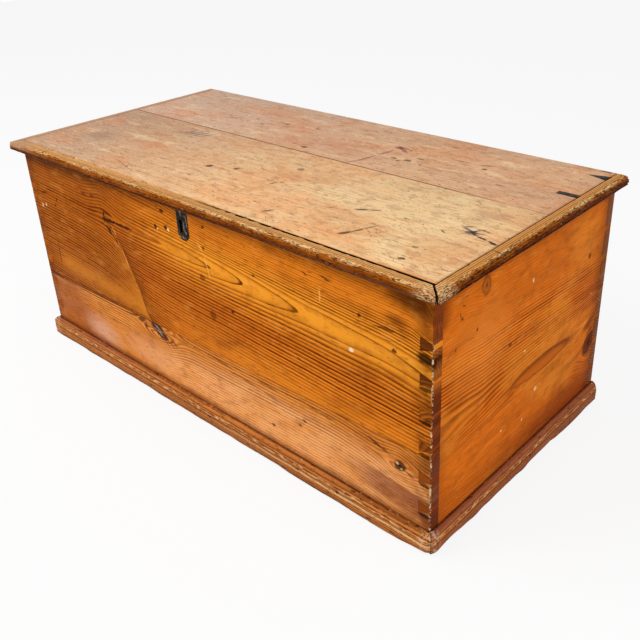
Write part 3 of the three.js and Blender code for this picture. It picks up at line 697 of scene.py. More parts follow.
def side_marks(pine, y, z):
    pine.knot(458, 138, 22, 16, "#281006", "#783612", 0.9)
    pine.layer(pine.mark(452, 182, 32, 14, 0.5, 0.8) * 0.65, "#54220A")
    pine.knot(118, 389, 10, 14, "#6E3210", "#BE6A26", 0.1, 0.9)
    # The lens in the grain, dark round its edge
    core = pine.mark(292, 180.5, 104, 16.5, edge=0.22)
    inner = pine.mark(288, 179, 94, 13, edge=0.35)
    pine.layer(core * 0.74, "#682406")
    pine.layer(inner * (z.step(0.19, 0.178) * 0.5 + 0.4), "#CE681C")
    pine.layer(pine.mark(120, 290, 110, 110, edge=0.9) * 0.34, "#FF9C40")
    pine.crack([(58, 377, 60, 362, 3), (60, 364, 66, 360, 3), (62, 384, 70, 377, 3),
                (48, 318, 52, 324, 4), (470, 170, 440, 156, 6)], SOOT, 0.75)
    pine.spots([(279, 138, 6, 5), (180, 112, 4, 2), (245, 346, 3, 5), (243, 98, 3, 3),
                (235, 230, 4, 3)], "#FACE96", 0.8)
    pine.spots([(425, 318, 6, 7), (190, 262, 6, 4), (100, 330, 3, 3)], "#60280E", 0.75)
    # Scuffs low down, then painted shade high at the front corner under the lid moulding, and reddish
    # wood low down, both spreading back from the joint
    pine.scratches(-0.5, 0.55, "#FAAA54", 3.3, 0.7, 0.76, 26, 420)
    painted_shade = y.step(0.045, 0.016) * z.step(0.355, 0.372) * 0.75
    low = y.step(0.05, 0.01) * z.step(0.235, 0.2) * 0.45
    pine.layer(painted_shade.most(low), "#7C3012")


def back_look(name, seed):
    pine = Pine(name, facing_back, seed)
    pine.wander(1.8, 0.008)
    knots = [(210, 310, 16, 12, 0.4), (-300, 130, 14, 10, 0.1)]
    for x, y, *_ in knots:
        pine.flow_round(x, y, 50, 20, 18)
    pine.rings(0.30, 0.05, 0.0052, taper=0.035)
    pine.tone("#CE843E", "#8C481C", "#A05826", contrast=0.65)
    for *place, angle in knots:
        pine.knot(*place, "#422010", "#96582C", angle)
    pine.flecks(0.35, BROWN)
    out_x = END - abs(pine.x)
    end_grain(pine, out_x)
    raw_inside(pine, 0.020, out_x)
    return pine.wax(0.52)


def lid_look(name, seed, rear):
    pine = Pine(name, facing_up, seed)
    pine.origin = (0.0, FRONT)
    x, y = pine.x, pine.y - FRONT
    pine.wander(1.5, 0.010)
    pine.flow_round(450, 152, 50, 20, 20)
    pine.flow_round(139, 387, 50, 20, 20)
    pine.rings(FRONT + (0.36 if rear else 0.11), 0.035, 0.0058, taper=0.03)
    pine.tone("#FED19B", "#BA7438", "#F0AC74", contrast=0.32, patch=0.5, fibre=0.30)
    if rear:
        pine.layer(0.5, "#CE987C")
        pine.layer(x.step(0.3, -0.5, 0.0, 0.78), "#CEAA92")
    else:
        pine.layer(x.step(-0.05, 0.4, 0.0, 0.76), "#FFDBA2")
        pine.blot(4.0, 1.8, 4.0, 12.0, 0.44, 0.62, 0.42, "#FAA664")
        pine.layer(x.step(0.05, -0.5, 0.0, 0.78), "#AE8A72")
    pine.blot(7.0, 1.3, 4.0, 5.0, 0.48, 0.66, 0.44, "#DC8A4E")
    pine.blot(11.0, 3.0, 4.0, 8.0, 0.54, 0.7, 0.5, "#FFE0AC")
    pine.blot(34, 2.2, 5.0, 21.0, 0.48, 0.66, 0.42, "#BA764C")
    # Dents and dirt: long dashes, short dashes, pits and stray scratches across the grain
    worked = x.step(-0.25, 0.25, 0.85, 1.0)
    pine.flecks(0.7, "#8A5034", 11.0, 36, 190, 0.65, 0.71)
    pine.flecks(0.36, "#B06032", 1.0, 9, 420, 0.58, 0.68)
    pine.flecks(worked * 0.7, "#8C4822", 2.0, 70, 300, 0.66, 0.71)
    pine.flecks(worked * 0.95, "#542614", 4.0, 120, 300, 0.68, 0.72)
    pine.flecks(worked * 0.95, "#341810", 6.0, 210, 210, 0.71, 0.74)
    pine.flecks(0.65, "#FFEECC", 8.0, 80, 240, 0.65, 0.71)
    for angle, shift in [(0.45, 1.7), (-0.60, 4.1), (1.35, 7.9)]:
        pine.scratches(angle, worked * 0.62, "#804220", shift, 0.675, 0.72, 22, 700)
    pine.scratches(0.12, worked, "#FFE8BC", 9.4, 0.62, 0.7)
    if rear:
        lid_rear_marks(pine)
    else:
        lid_front_marks(pine)
    # The seam is dirty as far as the right-hand irons
    pine.layer(abs(y - 0.275).step(0.0026, 0.0006) * x.step(0.44, 0.32, 0.25, 0.8), "#60321A")
    out_x = END - abs(x)
    pine.layer(out_x.step(0.005, 0.0008) * 0.45, "#683C20")
    pine.layer(out_x.step(*THIN) * 0.8, END_GRAIN)
    pine.layer((BACK - pine.y).step(*THIN) * 0.6, "#AA7446")
    # The edge along the front moulding, and painted shade: black on the board's edge where the gap
    # opens
    pine.layer(y.step(0.011, 0.007) * x.step(0.3, 0.48) * 0.5, "#D6782C")
    gap_side_shade = y.step(0.0075, 0.0068) * x.step(-0.05, 0.15)
    pine.layer(gap_side_shade * pine.depth.step(0.0006, 0.0014), "#120A06")
    raw_inside(pine, LID_TOP - LID_BOTTOM)
    return pine.wax(0.48, 0.0007, gloss=0.06)


def lid_front_marks(pine):
    # A star-shaped knot with a crack running out of it to the end of the board
    star = "#68504E"
    pine.spots([(449, 156, 10, 9)], star, 0.55, 0.3)
    pine.crack([(418, 172, 472, 146, 8), (434, 138, 462, 182, 7), (424, 152, 474, 162, 6),
                (440, 172, 478, 170, 5), (424, 164, 446, 180, 5)], star, 0.8, 0.3)
    pine.crack([(438, 162, 462, 150, 5), (446, 148, 452, 168, 4)], "#2C2020", 0.85)
    pine.crack([(460, 150, 482, 146, 6), (478, 148, 499.5, 139, 8)], "#1A0E0A", 0.95)
    # Cuts, long scratches, dents and a ring
    pine.crack([(261, 122, 284, 136, 8), (278, 133, 303, 146, 5), (302, 38, 317, 62, 11),
                (313, 56, 324, 80, 6), (321, 74, 332, 100, 4), (405, 140, 425, 132, 3),
                (226, 100, 236, 120, 2)], "#3A1E12", 0.85)
    pine.crack([(-255, 50, -148, 21, 4), (-180, 15, -204, 54, 3), (50, 100, 90, 190, 1),
                (330, 160, 410, 120, 1), (200, 30, 350, 130, 0.8), (380, 50, 470, 110, 1)],
               "#825030", 0.6, 0.3)
    pine.spots([(-72, 123, 8, 7), (-22, 140, 6, 4), (424, 34, 6, 4)], "#4A281E", 0.88, 0.4)
    pine.spots([(72, 204, 8, 7), (415, 72, 6, 4)], "#8C705C", 0.75, 0.3)
    pine.crack([(80, 118, 85, 140, 6), (83, 137, 101, 142, 5), (155, 30, 170, 52, 9)],
               "#7A4A2C", 0.75, 0.3)
    # A grey smudge with strokes through it, and two faint stains
    pine.layer(pine.mark(-254, 232, 48, 16, 0.3, 0.9) * 0.45, "#826864")
    pine.crack([(-270 + 13 * i, 214, -258 + 17 * i, 262, 6) for i in range(4)], "#60545C", 0.85, 0.2)
    pine.layer(pine.mark(-400, 110, 60, 45, 0.1, 0.9) * 0.35, "#82644E")
    pine.layer(pine.mark(435, 225, 45, 20, 0.1, 0.9) * 0.35, "#966460")


def lid_rear_marks(pine):
    # A purple knot with a swirl that trails towards the front
    purple = "#925C4E"
    pine.spots([(137, 394, 12, 10)], purple, 0.6, 0.3)
    pine.crack([(120, 408, 170, 374, 12), (122, 390, 150, 398, 7), (130, 404, 176, 388, 5)],
               purple, 0.75, 0.3)
    pine.crack([(128, 400, 148, 388, 6)], "#584248", 0.75, 0.5)
    pine.crack([(136, 385, 128, 335, 9), (128, 345, 118, 280, 8), (120, 300, 108, 276, 6)],
               purple, 0.75, 0.4)
    pine.spots([(162, 344, 8, 4), (190, 347, 10, 5), (203, 366, 9, 3), (176, 336, 5, 3),
                (-11, 297, 8, 5), (221, 341, 3, 3), (320, 385, 6, 4), (-144, 384, 7, 4),
                (-222, 376, 6, 3), (-188, 356, 7, 3), (-70, 395, 5, 3)], "#462A22", 0.8)
    pine.crack([(-300, 340, -235, 372, 3), (-150, 368, -120, 378, 3), (195, 450, 230, 455, 4),
                (300, 400, 330, 405, 3), (245, 395, 285, 398, 3)], "#543426", 0.8)
    pine.layer(pine.mark(30, 345, 200, 55, 0.05, 0.9) * 0.3, "#B4745C")
    pine.crack([(470, 489, 499, 487, 8)], SOOT, 0.8)


def reach_from_case(g):
    """How far a point stands out past the front or the ends of the carcase."""
    return (FRONT - g.y).most(abs(g.x) - END)


def lid_edge_look(name, layout, pitted, flat_colour):
    """A waxed nose beside a pale worn flat, over a quirk and fillet with painted shade and a painted
    highlight line.
    """
    pine = Pine(name, layout, 11.0)
    x, down = pine.x, LID_TOP - pine.z
    pine.wander(2.5, 0.003)
    reach = reach_from_case(pine)
    pine.field = pine.field - reach * 0.6
    pine.rings(0.41, 0.015, 0.0034, taper=0.01)
    pine.tone("#C46C1A", "#542004", "#803C0E", contrast=0.6, patch=0.5, fibre=0.6)

    def rough_wood(along, round_nose, seed):
        """A place in noise that follows the moulding over its nose."""
        return pine.vector(pine.along * along, (reach - pine.z) * round_nose, seed)

    fine = rough_wood(90, 420, 3.0)
    ragged = pine.noise(fine, 1, 4, 0.65) - 0.5
    patchy = pine.cloud(26, 2.0, 3.0, 1.0) - 0.5
    # The flat, its three grooves, and the rubbed line along the nose
    on_top = down.step(0.0055, 0.0025)
    flat = (reach + ragged * 0.01 + patchy * 0.006).step(0.0165, 0.012) * on_top
    pine.layer(flat * 0.88, flat_colour)
    for at, width in [(0.0042, 0.0005), (0.0080, 0.0009), (0.0112, 0.0005)]:
        pine.dent((reach + patchy * 0.0008).bell(at, width) * flat, 0.8, "#703A1C", 0.6)
    nose = (reach + ragged * 0.004).bell(0.015, 0.0026)
    small = pine.noise(rough_wood(200, 700, 5.0), 1, 3, 0.6) - 0.5
    pine.layer(nose * (small + patchy * 0.8).step(0.0, 0.07) * on_top * 0.9, "#FFD696")
    # Grime and pits on the nose, and painted shade, dark, in the quirk under it
    spread = pine.cloud(24, 3.0, 3.0, 4.0).step(0.3 - 0.1 * pitted, 0.6 - 0.1 * pitted)
    pine.layer(down.step(0.0018, 0.008) * spread * (0.5 + 0.42 * pitted), "#5C2206")
    pits = pine.noise(fine, 1.5, 3).step(0.6 - 0.06 * pitted, 0.66 - 0.05 * pitted)
    pine.dent(pits * reach.step(0.009, 0.014), 0.85, "#2C1206", 1.0)
    pine.layer(down.step(0.009, 0.0116) * 0.9, "#421A08")
    # A painted highlight line along the fillet's arris, none on the pitted end runs
    lip_highlight = down.bell(0.0128, 0.0005) * x.step(-0.1, 0.4, 0.2, 0.8)
    pine.layer(lip_highlight * (0.75 * (1 - pitted)), "#BE886E")
    pine.layer(down.step(0.0138, 0.0148) * 0.75, "#9E6238")
    upper = down.step(0.0144, 0.0134)
    pine.flecks(upper * 0.8, "#3A1A0A", 3.0, 110, 420, 0.64, 0.7)
    pine.flecks(upper * 0.85, CREAM, 8.0, 160, 420, 0.72, 0.75, 0.0)
    pine.layer(x.step(-0.4, -0.5) * down.step(0.01, 0.004) * 0.85, "#C49A76")
    # Where it meets the board: a dark seam, and painted shade, black, where the gap opens
    seam = abs(reach - 0.0006).step(*THIN) * down.step(0.0012, 0.0006)
    pine.layer(seam * x.step(-0.2, 0.3, 0.25, 0.6), "#542E1A")
    gap_shade = reach.step(-0.0002, -0.0008) * down.step(0.0006, 0.0014)
    pine.layer(gap_shade * x.step(-0.05, 0.15), "#120A06")
    lid_edge_corner(pine, upper, pine.noise(rough_wood(170, 560, 9.0), 1, 4, 0.6))
    return pine.wax(0.42, 0.0010, gloss=0.01)


def lid_edge_corner(pine, upper, chipped):
    """Bleached, pitted wood beside the right-hand mitre, and the mitre's gap painted black as shade.
    """
    ahead = FRONT - pine.y
    aside = pine.x - END
    near = (-ahead.least(aside)).step(0.026, 0.004) * upper
    pine.layer(near * chipped.step(0.46, 0.54) * 0.75, "#FACE94")
    pine.layer(near * chipped.step(0.42, 0.36) * 0.8, "#421E0C")
    # Painted shade: the faces of the mitre's gap are painted black
    mitre = aside - ahead
    inside = mitre.step(-0.0046, -0.0038) * mitre.step(0.0004, -0.0002)
    pine.layer(inside * aside.step(-0.002, 0.0), "#0E0805")


def base_edge_look(name, layout, top_sheen):
    """Striped waxed pine, rubbed pale along the front of the round, with a painted highlight.
    top_sheen is the share of a painted purplish sheen on the top of the round; it also leaves less of
    the wood rubbed.
    """
    pine = Pine(name, layout, 17.0)
    front = top_sheen < 0.5
    z, down = pine.z, BASE_TOP - pine.z
    pine.wander(3.0, 0.003)
    pine.rings(0.060, 0.020, 0.0038, taper=0.01)
    pine.tone("#DE8A42", "#682E12", "#964C20", contrast=0.9, patch=0.4, fibre=0.6)
    pinker = (pine.along + pine.cloud(12, 2.0) * 0.1).step(0.05, -0.3) if front else 1.0
    # A painted purplish sheen on the top of the round, more of it to the left on the front
    pine.layer(down.step(0.013, 0.003) * pinker * top_sheen, "#96503A")
    rubbed = pine.cloud(60, 3.5, 4.0).step(0.44 + 0.08 * top_sheen, 0.6 + 0.06 * top_sheen)
    if not front:
        pine.layer(down.step(0.014, 0.019) * 0.62, "#96461C")
    # Stripes along the round, at their depths below the top. The pale one is rubbed wood with a
    # painted highlight.
    wavy = down - (pine.cloud(20, 1.0) - 0.5) * 0.006
    pine.layer(wavy.bell(0.012, 0.0026) * rubbed * 0.8, "#FCC88E")
    pine.layer(wavy.bell(0.0175, 0.0014) * 0.65, "#54240E")
    pine.layer(wavy.bell(0.0245, 0.0012) * rubbed * 0.6, "#5A2810")
    # A painted highlight lower on the round, towards the right-hand end of the front
    if front:
        pine.layer(pine.along.step(-0.1, 0.35) * wavy.bell(0.021, 0.0024) * 0.75, "#FFCC8C")
    pine.layer(z.step(0.013, 0.003) * pine.cloud(20, 2.0).step(0.3, 0.55) * 0.75, "#502610")
    pine.flecks(0.8, "#38180A", 3.0, 60, 480, 0.62, 0.69)
    pine.flecks(0.85, CREAM, 8.0, 120, 420, 0.70, 0.74)
    pine.spots([(-300, 24, 4, 3), (20, 22, 4.5, 3.5), (330, 24, 4, 3)], SOOT, 0.8)
    pine.layer(down.step(0.0014, 0.0002) * 0.75, "#3E1C0E")
    # Worn at the corner, and dark in the mitre
    ahead = FRONT - pine.y
    aside = abs(pine.x) - END
    pine.worn(-ahead.least(aside), "#E2C8AA", 0.014, 0.55, 200)
    mitre = abs(aside - ahead)
    pine.layer(mitre.step(0.0012, 0.0004) * aside.step(0.001, 0.003) * 0.7, "#321C10")
    return pine.wax(0.36, 0.0010, gloss=0.015)


def raw_look(name, seed):
    pine = Pine(name, facing_down, seed)
    pine.wander(2.0, 0.008)
    pine.rings(0.05, 0.04, 0.0050, taper=0.03)
    pine.tone("#CCA070", "#9C6A40", "#B08256", contrast=0.5)
    pine.flecks(0.4, BROWN)
    return pine.wax(0.70, 0.0006, gloss=0.12)


def iron_look(name, dark, light, rough=0.5, metal=0.6, gloss=0.2):
    iron = Surface(name)
    coarse = iron.noise(iron.place, 130, 4, 0.6)
    fine = iron.noise(iron.place, 900, 3, 0.6)
    colour = iron.mix(coarse.step(0.48, 0.66), dark, light)
    colour = iron.mix(fine.step(0.55, 0.75) * 0.35, colour, "#603C28")
    # Round the keyhole the plate is painted black as shade, so the hole looks larger, and painted
    # highlights lie at one side and below
    iron.plane = iron.vector(iron.x, iron.z)
    on_front = iron.y.step(FRONT + 0.004, FRONT + 0.002)
    black = iron.mark(-5, 385, 9.5, 18, edge=0.5)
    colour = iron.mix(black * on_front * 0.92, colour, "#060606")
    painted_highlights = iron.lines([(3, 396, 3.6, 372, 2), (6, 378, 9, 371, 3.6), (-6, 411, 1, 406, 4),
                         (-3, 366, 3, 362.5, 3.6), (11, 410, 11.8, 380, 1.6)])
    colour = iron.mix(painted_highlights * on_front * 0.85, colour, "#9E8A76")
    roughness = rough + (coarse - 0.5) * 0.4
    height = coarse * 0.8 + fine * 0.25
    return iron.show(iron.skin(colour, roughness, height, 0.0009, Metallic=metal,
                               Specular_IOR_Level=gloss))


def as_mesh(skin, name):
    mesh = bpy.data.meshes.new(name)
    skin.to_mesh(mesh)
    skin.free()
    return mesh


def linked(name, data):
    thing = bpy.data.objects.new(name, data)
    bpy.context.scene.collection.objects.link(thing)
    return thing


def loose(name, skin, look, slot, node, smooth=32):
    """A piece of the visual model that moves with the node and doesn't stand for it."""
    bmesh.ops.recalc_face_normals(skin, faces=skin.faces)
    piece = linked(name, as_mesh(skin, name))
    piece.data.materials.append(look)
    piece.data.shade_smooth()
    piece.data.set_sharp_from_angle(angle=math.radians(smooth))
    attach(piece, NODES[node]["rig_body"])
    return piece


def dressed(node, skin, look, slot, smooth=32):
    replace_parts(loose(node + "_dressed", skin, look, slot, node, smooth), node)


# Boards and irons: the solid's own shape with its arrises eased

FLAT = math.radians(1.5)
METAL_EASE = 0.00025


def own_copy(node):
    """The solid's mesh as one clean closed skin, without the splits that its file holds."""
    skin = bmesh.new()
    skin.from_mesh(NODES[node].data)
    bmesh.ops.remove_doubles(skin, verts=skin.verts, dist=1e-6)
    bmesh.ops.dissolve_limit(skin, angle_limit=FLAT, verts=skin.verts, edges=skin.edges)
    for face in skin.faces:
        face.material_index = 0
    return skin


def eased(node, width, look, slot, sharp=28, holes=None):
    skin = own_copy(node)
    edges = [e for e in skin.edges if len(e.link_faces) == 2
             and e.calc_face_angle() > math.radians(sharp)]
    bmesh.ops.bevel(skin, geom=edges, offset=width, segments=2, profile=0.5, affect="EDGES",
                    clamp_overlap=True)
    if holes is not None:
        skin = carved(skin, holes)
    dressed(node, skin, look, slot)


def carved(skin, tool):
    """Takes the tool's closed shells away from the skin."""
    kept = linked("kept", as_mesh(skin, "kept"))
    cutter = linked("tool", as_mesh(tool, "tool"))
    modifier = kept.modifiers.new("cut", "BOOLEAN")
    modifier.object = cutter
    modifier.solver = "EXACT"
    result = bmesh.new()
    result.from_mesh(kept.evaluated_get(bpy.context.evaluated_depsgraph_get()).to_mesh())
    bpy.data.objects.remove(kept)
    bpy.data.objects.remove(cutter)
    return result


def lofted(rings):
    """A closed skin through rings of points, with a flat face over both ends."""
    skin = bmesh.new()
    rings = [[skin.verts.new(point) for point in ring] for ring in rings]
    for low, high in zip(rings, rings[1:]):
        for i in range(len(low)):
            j = (i + 1) % len(low)
            skin.faces.new((low[i], low[j], high[j], high[i]))
    skin.faces.new(rings[0][::-1])
    skin.faces.new(rings[-1])
    return skin


# Screws and nails, each in a hole cut in the piece that it holds

SCREW_HOLE = [(0.50, -0.50), (1.0, 0.0), (1.02, 0.06)]
SCREW_HEAD = [(0.46, -0.50), (0.92, -0.085), (0.88, -0.045), (0.45, -0.025), (0.1, -0.02)]
NAIL_HOLE = [(0.80, -0.30), (1.0, -0.10), (1.04, 0.06)]
NAIL_HEAD = [(0.40, -0.55), (0.82, -0.27), (0.84, -0.20), (0.62, -0.13), (0.1, -0.10)]
PIN_DOME = [(1.0, -0.4), (1.0, 0.05), (0.82, 0.24), (0.5, 0.36), (0.1, 0.40)]


def turned(outline, radius, sides=20):
    """A closed skin turned about Z. The outline is in shares of the radius, from the bottom up."""
    ways = [(math.cos(math.tau * i / sides), math.sin(math.tau * i / sides)) for i in range(sides)]
    return lofted([[(radius * r * x, radius * r * y, radius * h) for x, y in ways]
                   for r, h in outline])


def slotted(screw, radius):
    slit = bmesh.new()
    size = Matrix.Diagonal((radius * 2.4, radius * 0.24, radius * 0.44, 1))
    bmesh.ops.create_cube(slit, size=1, matrix=size)
    return carved(screw, slit)


def add_at(skin, pattern, outward, places):
    """Adds the pattern to the skin at every place, with its Z turned outward."""
    mesh = as_mesh(pattern, "pattern")
    turn = outward.to_track_quat("Z", "Y").to_matrix().to_4x4()
    for i, spot in enumerate(places):
        known = len(skin.verts)
        skin.from_mesh(mesh)
        skin.verts.ensure_lookup_table()
        spin = Matrix.Translation(spot) @ turn @ Matrix.Rotation(0.5 + 1.9 * i, 4, "Z")
        bmesh.ops.transform(skin, matrix=spin, verts=skin.verts[known:])
    return skin


def fastened(node, width, look, slot, iron, heads, **shape):
    """The piece with its holes, and its screws or nails as one piece in the holes."""
    joined, holes = bmesh.new(), bmesh.new()
    for kind, outward, radius, places in heads[node]:
        if kind == "screw":
            head, hole = slotted(turned(SCREW_HEAD, radius), radius), SCREW_HOLE
        else:
            head, hole = turned(NAIL_HEAD, radius), NAIL_HOLE
        add_at(joined, head, outward, places)
        add_at(holes, turned(hole, radius), outward, places)
    eased(node, width, look, slot, holes=holes, **shape)
    loose(node + "_fixings", joined, iron, "iron", node)


def fastenings():
    """For each fastened piece the kind of head, the way it faces, its radius and its places."""
    up, down, back = Vector((0, 0, 1)), Vector((0, 0, -1)), Vector((0, 1, 0))
    heads = {}
    for hand in ("left", "right"):
        for part, outward, z in [("case", up, CASE_TOP), ("lid", down, LID_BOTTOM)]:
            low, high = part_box(f"hinge_{part}_leaf_{hand}")
            row = [((low.x + high.x) / 2 + s, low.y + 0.0070, z) for s in (-0.036, 0, 0.036)]
            heads[f"hinge_{part}_leaf_{hand}"] = [("screw", outward, 0.0034, row)]
        low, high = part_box(f"lid_batten_{hand}")
        row = [((low.x + high.x) / 2, y, low.z) for y in (-0.172, -0.082, 0.010, 0.102, 0.192)]
        heads[f"lid_batten_{hand}"] = [("screw", down, 0.0040, row)]
    low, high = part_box("lock_link_plate")
    pair = [(x, (low.y + high.y) / 2, high.z - 0.002) for x in (low.x + 0.006, high.x - 0.006)]
    heads["lock_link_plate"] = [("screw", down, 0.0024, pair)]
    low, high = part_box("lock_case")
    sides = (low.x + 0.0062, high.x - 0.0062)
    corners = [(x, high.y, z) for x in sides for z in (low.z + 0.009, high.z - 0.013)]
    tops = [(x, high.y - 0.0070, high.z) for x in sides]
    heads["lock_case"] = [("screw", back, 0.0026, corners), ("screw", up, 0.0026, tops)]
    for i in range(1, 6):
        low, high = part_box(f"bottom_board_{i}")
        x = (low.x + high.x) / 2
        nails = [(x + s, y, 0.0) for s in (-0.062, 0.060) for y in (FRONT + 0.010, BACK - 0.010)]
        if i in (1, 5):
            edge = math.copysign(END - 0.0105, x)
            nails += [(edge, y, 0.0) for y in (-0.150, 0.004, 0.160)]
        heads[f"bottom_board_{i}"] = [("nail", down, 0.0036, nails)]
    return heads


HAMMERED = 0.0018


def escutcheon(plate):
    """Old hammered iron, held by two domed pins."""
    skin = own_copy("escutcheon")
    low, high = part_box("escutcheon")
    for axis, start, end in [(0, low.x, high.x), (2, low.z, high.z)]:
        count = round((end - start) / HAMMERED)
        for i in range(1, count):
            spot, way = [0.0, 0.0, 0.0], [0.0, 0.0, 0.0]
            spot[axis], way[axis] = start + (end - start) * i / count, 1.0
            bmesh.ops.bisect_plane(skin, geom=skin.verts[:] + skin.edges[:] + skin.faces[:],
                                   plane_co=spot, plane_no=way, dist=1e-6)
    for vert in skin.verts:
        x, y, z = vert.co
        if y < low.y + 0.0001:
            lump = noise.noise(vert.co * 260) + 0.6 * noise.noise(vert.co * 620)
            rim = min(x - low.x, high.x - x, z - low.z, high.z - z)
            vert.co.y += 0.00018 * (1 + lump) + 0.00030 * math.exp(-rim / 0.0009)
    dressed("escutcheon", skin, plate, "iron", 60)
    spots = [(0.0, low.y, high.z - 0.0048), (0.0, low.y, low.z + 0.0046)]
    pins = add_at(bmesh.new(), turned(PIN_DOME, 0.0017), Vector((0, -1, 0)), spots)
    loose("escutcheon_pins", pins, plate, "iron", "escutcheon")


# Mouldings: a worn section swept along each edge, with mitred ends

STATION = 0.003


def arc(cu, cv, ru, rv, start, end, steps=12):
    angles = [math.radians(start + (end - start) * i / steps) for i in range(steps + 1)]
    return [(cu + ru * math.cos(a), cv + rv * math.sin(a)) for a in angles]


def trios(points):
    """Each point of a closed outline with the one before it and the one after it."""
    return zip(points[-1:] + points[:-1], points, points[1:] + points[:1])


def fine_section(corners, step):
    """Points close together along the corners' outline, with the corners rubbed soft."""
    points = []
    for (u0, v0), (u1, v1) in zip(corners, corners[1:] + corners[:1]):
        count = max(1, round(math.hypot(u1 - u0, v1 - v0) / step))
        points += [(u0 + (u1 - u0) * i / count, v0 + (v1 - v0) * i / count) for i in range(count)]
    for _ in range(2):
        points = [((a[0] + 2 * b[0] + c[0]) / 4, (a[1] + 2 * b[1] + c[1]) / 4)
                  for a, b, c in trios(points)]
    return points


def turning(points):
    """How sharply the outline turns at each point, from 0 to about 1, positive where it bulges."""
    sharp = []
    for a, b, c in trios(points):
        cross = (b[0] - a[0]) * (c[1] - b[1]) - (b[1] - a[1]) * (c[0] - b[0])
        size = math.hypot(b[0] - a[0], b[1] - a[1]) * math.hypot(c[0] - b[0], c[1] - b[1])
        sharp.append(min(1.0, max(0.0, cross / max(size, 1e-12))))
    return sharp


def sweep(node, section, at, length, wear, look):
    """Runs the section along an edge. at(t, out, z) gives a point's place, with t from 0 to 1."""
    sharp = turning(section)
    middle_out, middle_z = [sum(values) / len(section) for values in zip(*section)]
    count = round(length / STATION)
    rings = []
    for t in [i / count for i in range(count + 1)]:
        ring = []
        for (out, z), bulge in zip(section, sharp):
            reach = math.hypot(middle_out - out, middle_z - z)
            share = wear(t, out, z, bulge) / reach
            ring.append(at(t, out + (middle_out - out) * share, z + (middle_z - z) * share))
        rings.append(ring)
    dressed(node, lofted(rings), look, "edge_pine", 50)


def wear_of(seed, even, arris, chips):
    """Loss of wood in metres: a little everywhere, more on the arrises, and a few deep chips."""
    def loss(s, out, z, sharp):
        here = Vector((s * 55, out * 160, z * 160 + seed))
        low = noise.noise(here) * 0.5 + 0.5
        dent = max(0.0, noise.noise(here * 3.1 + Vector((9, 0, 0))) - 0.28)
        return even * low + arris * sharp * low + chips * dent * (0.3 + sharp * 2.0)
    return loss


def rounded(x, y, z, reach, radius):
    """The point, with the plan worn round where two mouldings meet at a front corner."""
    centre_x, centre_y = END + reach - radius, FRONT - reach + radius
    across, ahead = abs(x) - centre_x, centre_y - y
    far = math.hypot(across, ahead)
    if across > 0 and ahead > 0 and far > radius:
        x = math.copysign(centre_x + across * radius / far, x)
        y = centre_y - ahead * radius / far
    return Vector((x, y, z))


LID_THICKNESS = LID_TOP - LID_BOTTOM
LID_SECTION_HEIGHT = 0.0157
LID_SECTION = [(-0.0002, 0.0), (0.0198, 0.0), (0.0198, 0.003), (0.0184, 0.003), (0.0184, 0.0042),
               (0.021, 0.0042), *arc(0.012, 0.0067, 0.009, 0.009, 0, 90),
               (-0.0002, LID_SECTION_HEIGHT)]
LID_EVEN_WEAR, LID_ARRIS_WEAR = 0.0002, 0.0014


def lid_edges(front_look, end_look):
    front_length, end_length = 2 * (END + LID_REACH), 0.513
    section = [(out, LID_BOTTOM + z * LID_THICKNESS / LID_SECTION_HEIGHT)
               for out, z in fine_section(LID_SECTION, 0.0009)]

    def radius(x, z):
        """The left-hand corner is knocked round, the right-hand one only on top."""
        return (0.010 if x < 0 else 0.002) + 0.006 * (z - LID_BOTTOM) / LID_THICKNESS

    def along_front(t, out, z):
        if out < 0.0001:
            # Beside the board, which stands back more at the left, with a gap that opens
            board = 0.006 - 0.002 * t
            gap = 0.0005 + 0.0028 * max(0.0, (t - 0.60) / 0.40) ** 0.9
            return Vector((-END + 2 * END * t, FRONT + board - gap, z))
        bow = 0.0012 * math.sin(math.pi * min(1.0, out / LID_REACH))
        left, right = -END - out + 0.0004, END + out - 0.0030 - bow
        x = left + (right - left) * t
        return rounded(x, FRONT - out, z, LID_REACH, radius(x, z))

    def along_end(side):
        def at(t, out, z):
            start = FRONT - max(out, 0.0)
            return rounded(side * (END + max(out, 0.0002)), start + (BACK - start) * t, z,
                           LID_REACH, radius(side, z))
        return at

    def worse_at(corner, loss):
        """More wood is lost near the corner than away from it."""
        return loss * (1 + 1.6 * math.exp(-corner / 0.022))

    front_loss = wear_of(2.0, LID_EVEN_WEAR, LID_ARRIS_WEAR, 0.0055)

    def front_wear(t, out, z, sharp):
        return worse_at((1 - t) * front_length, front_loss(t, out, z, sharp))

    def end_wear(seed):
        loss = wear_of(seed, LID_EVEN_WEAR, LID_ARRIS_WEAR, 0.0060)
        return lambda t, out, z, sharp: worse_at(t * end_length, loss(t * 0.5, out, z, sharp))

    sweep("lid_moulding_front", section, along_front, front_length, front_wear, front_look)
    for hand, side, seed in [("right", 1, 5.0), ("left", -1, 8.0)]:
        sweep(f"lid_moulding_{hand}", section, along_end(side), end_length, end_wear(seed),
              end_look)


BASE_SECTION = [(0.0, 0.0), *arc(0.007, 0.005, 0.005, 0.005, -90, 0),
                *arc(0.002, 0.022, 0.010, 0.019, 0, 90), (0.0, 0.041)]
MITRE_GAP = 0.0002


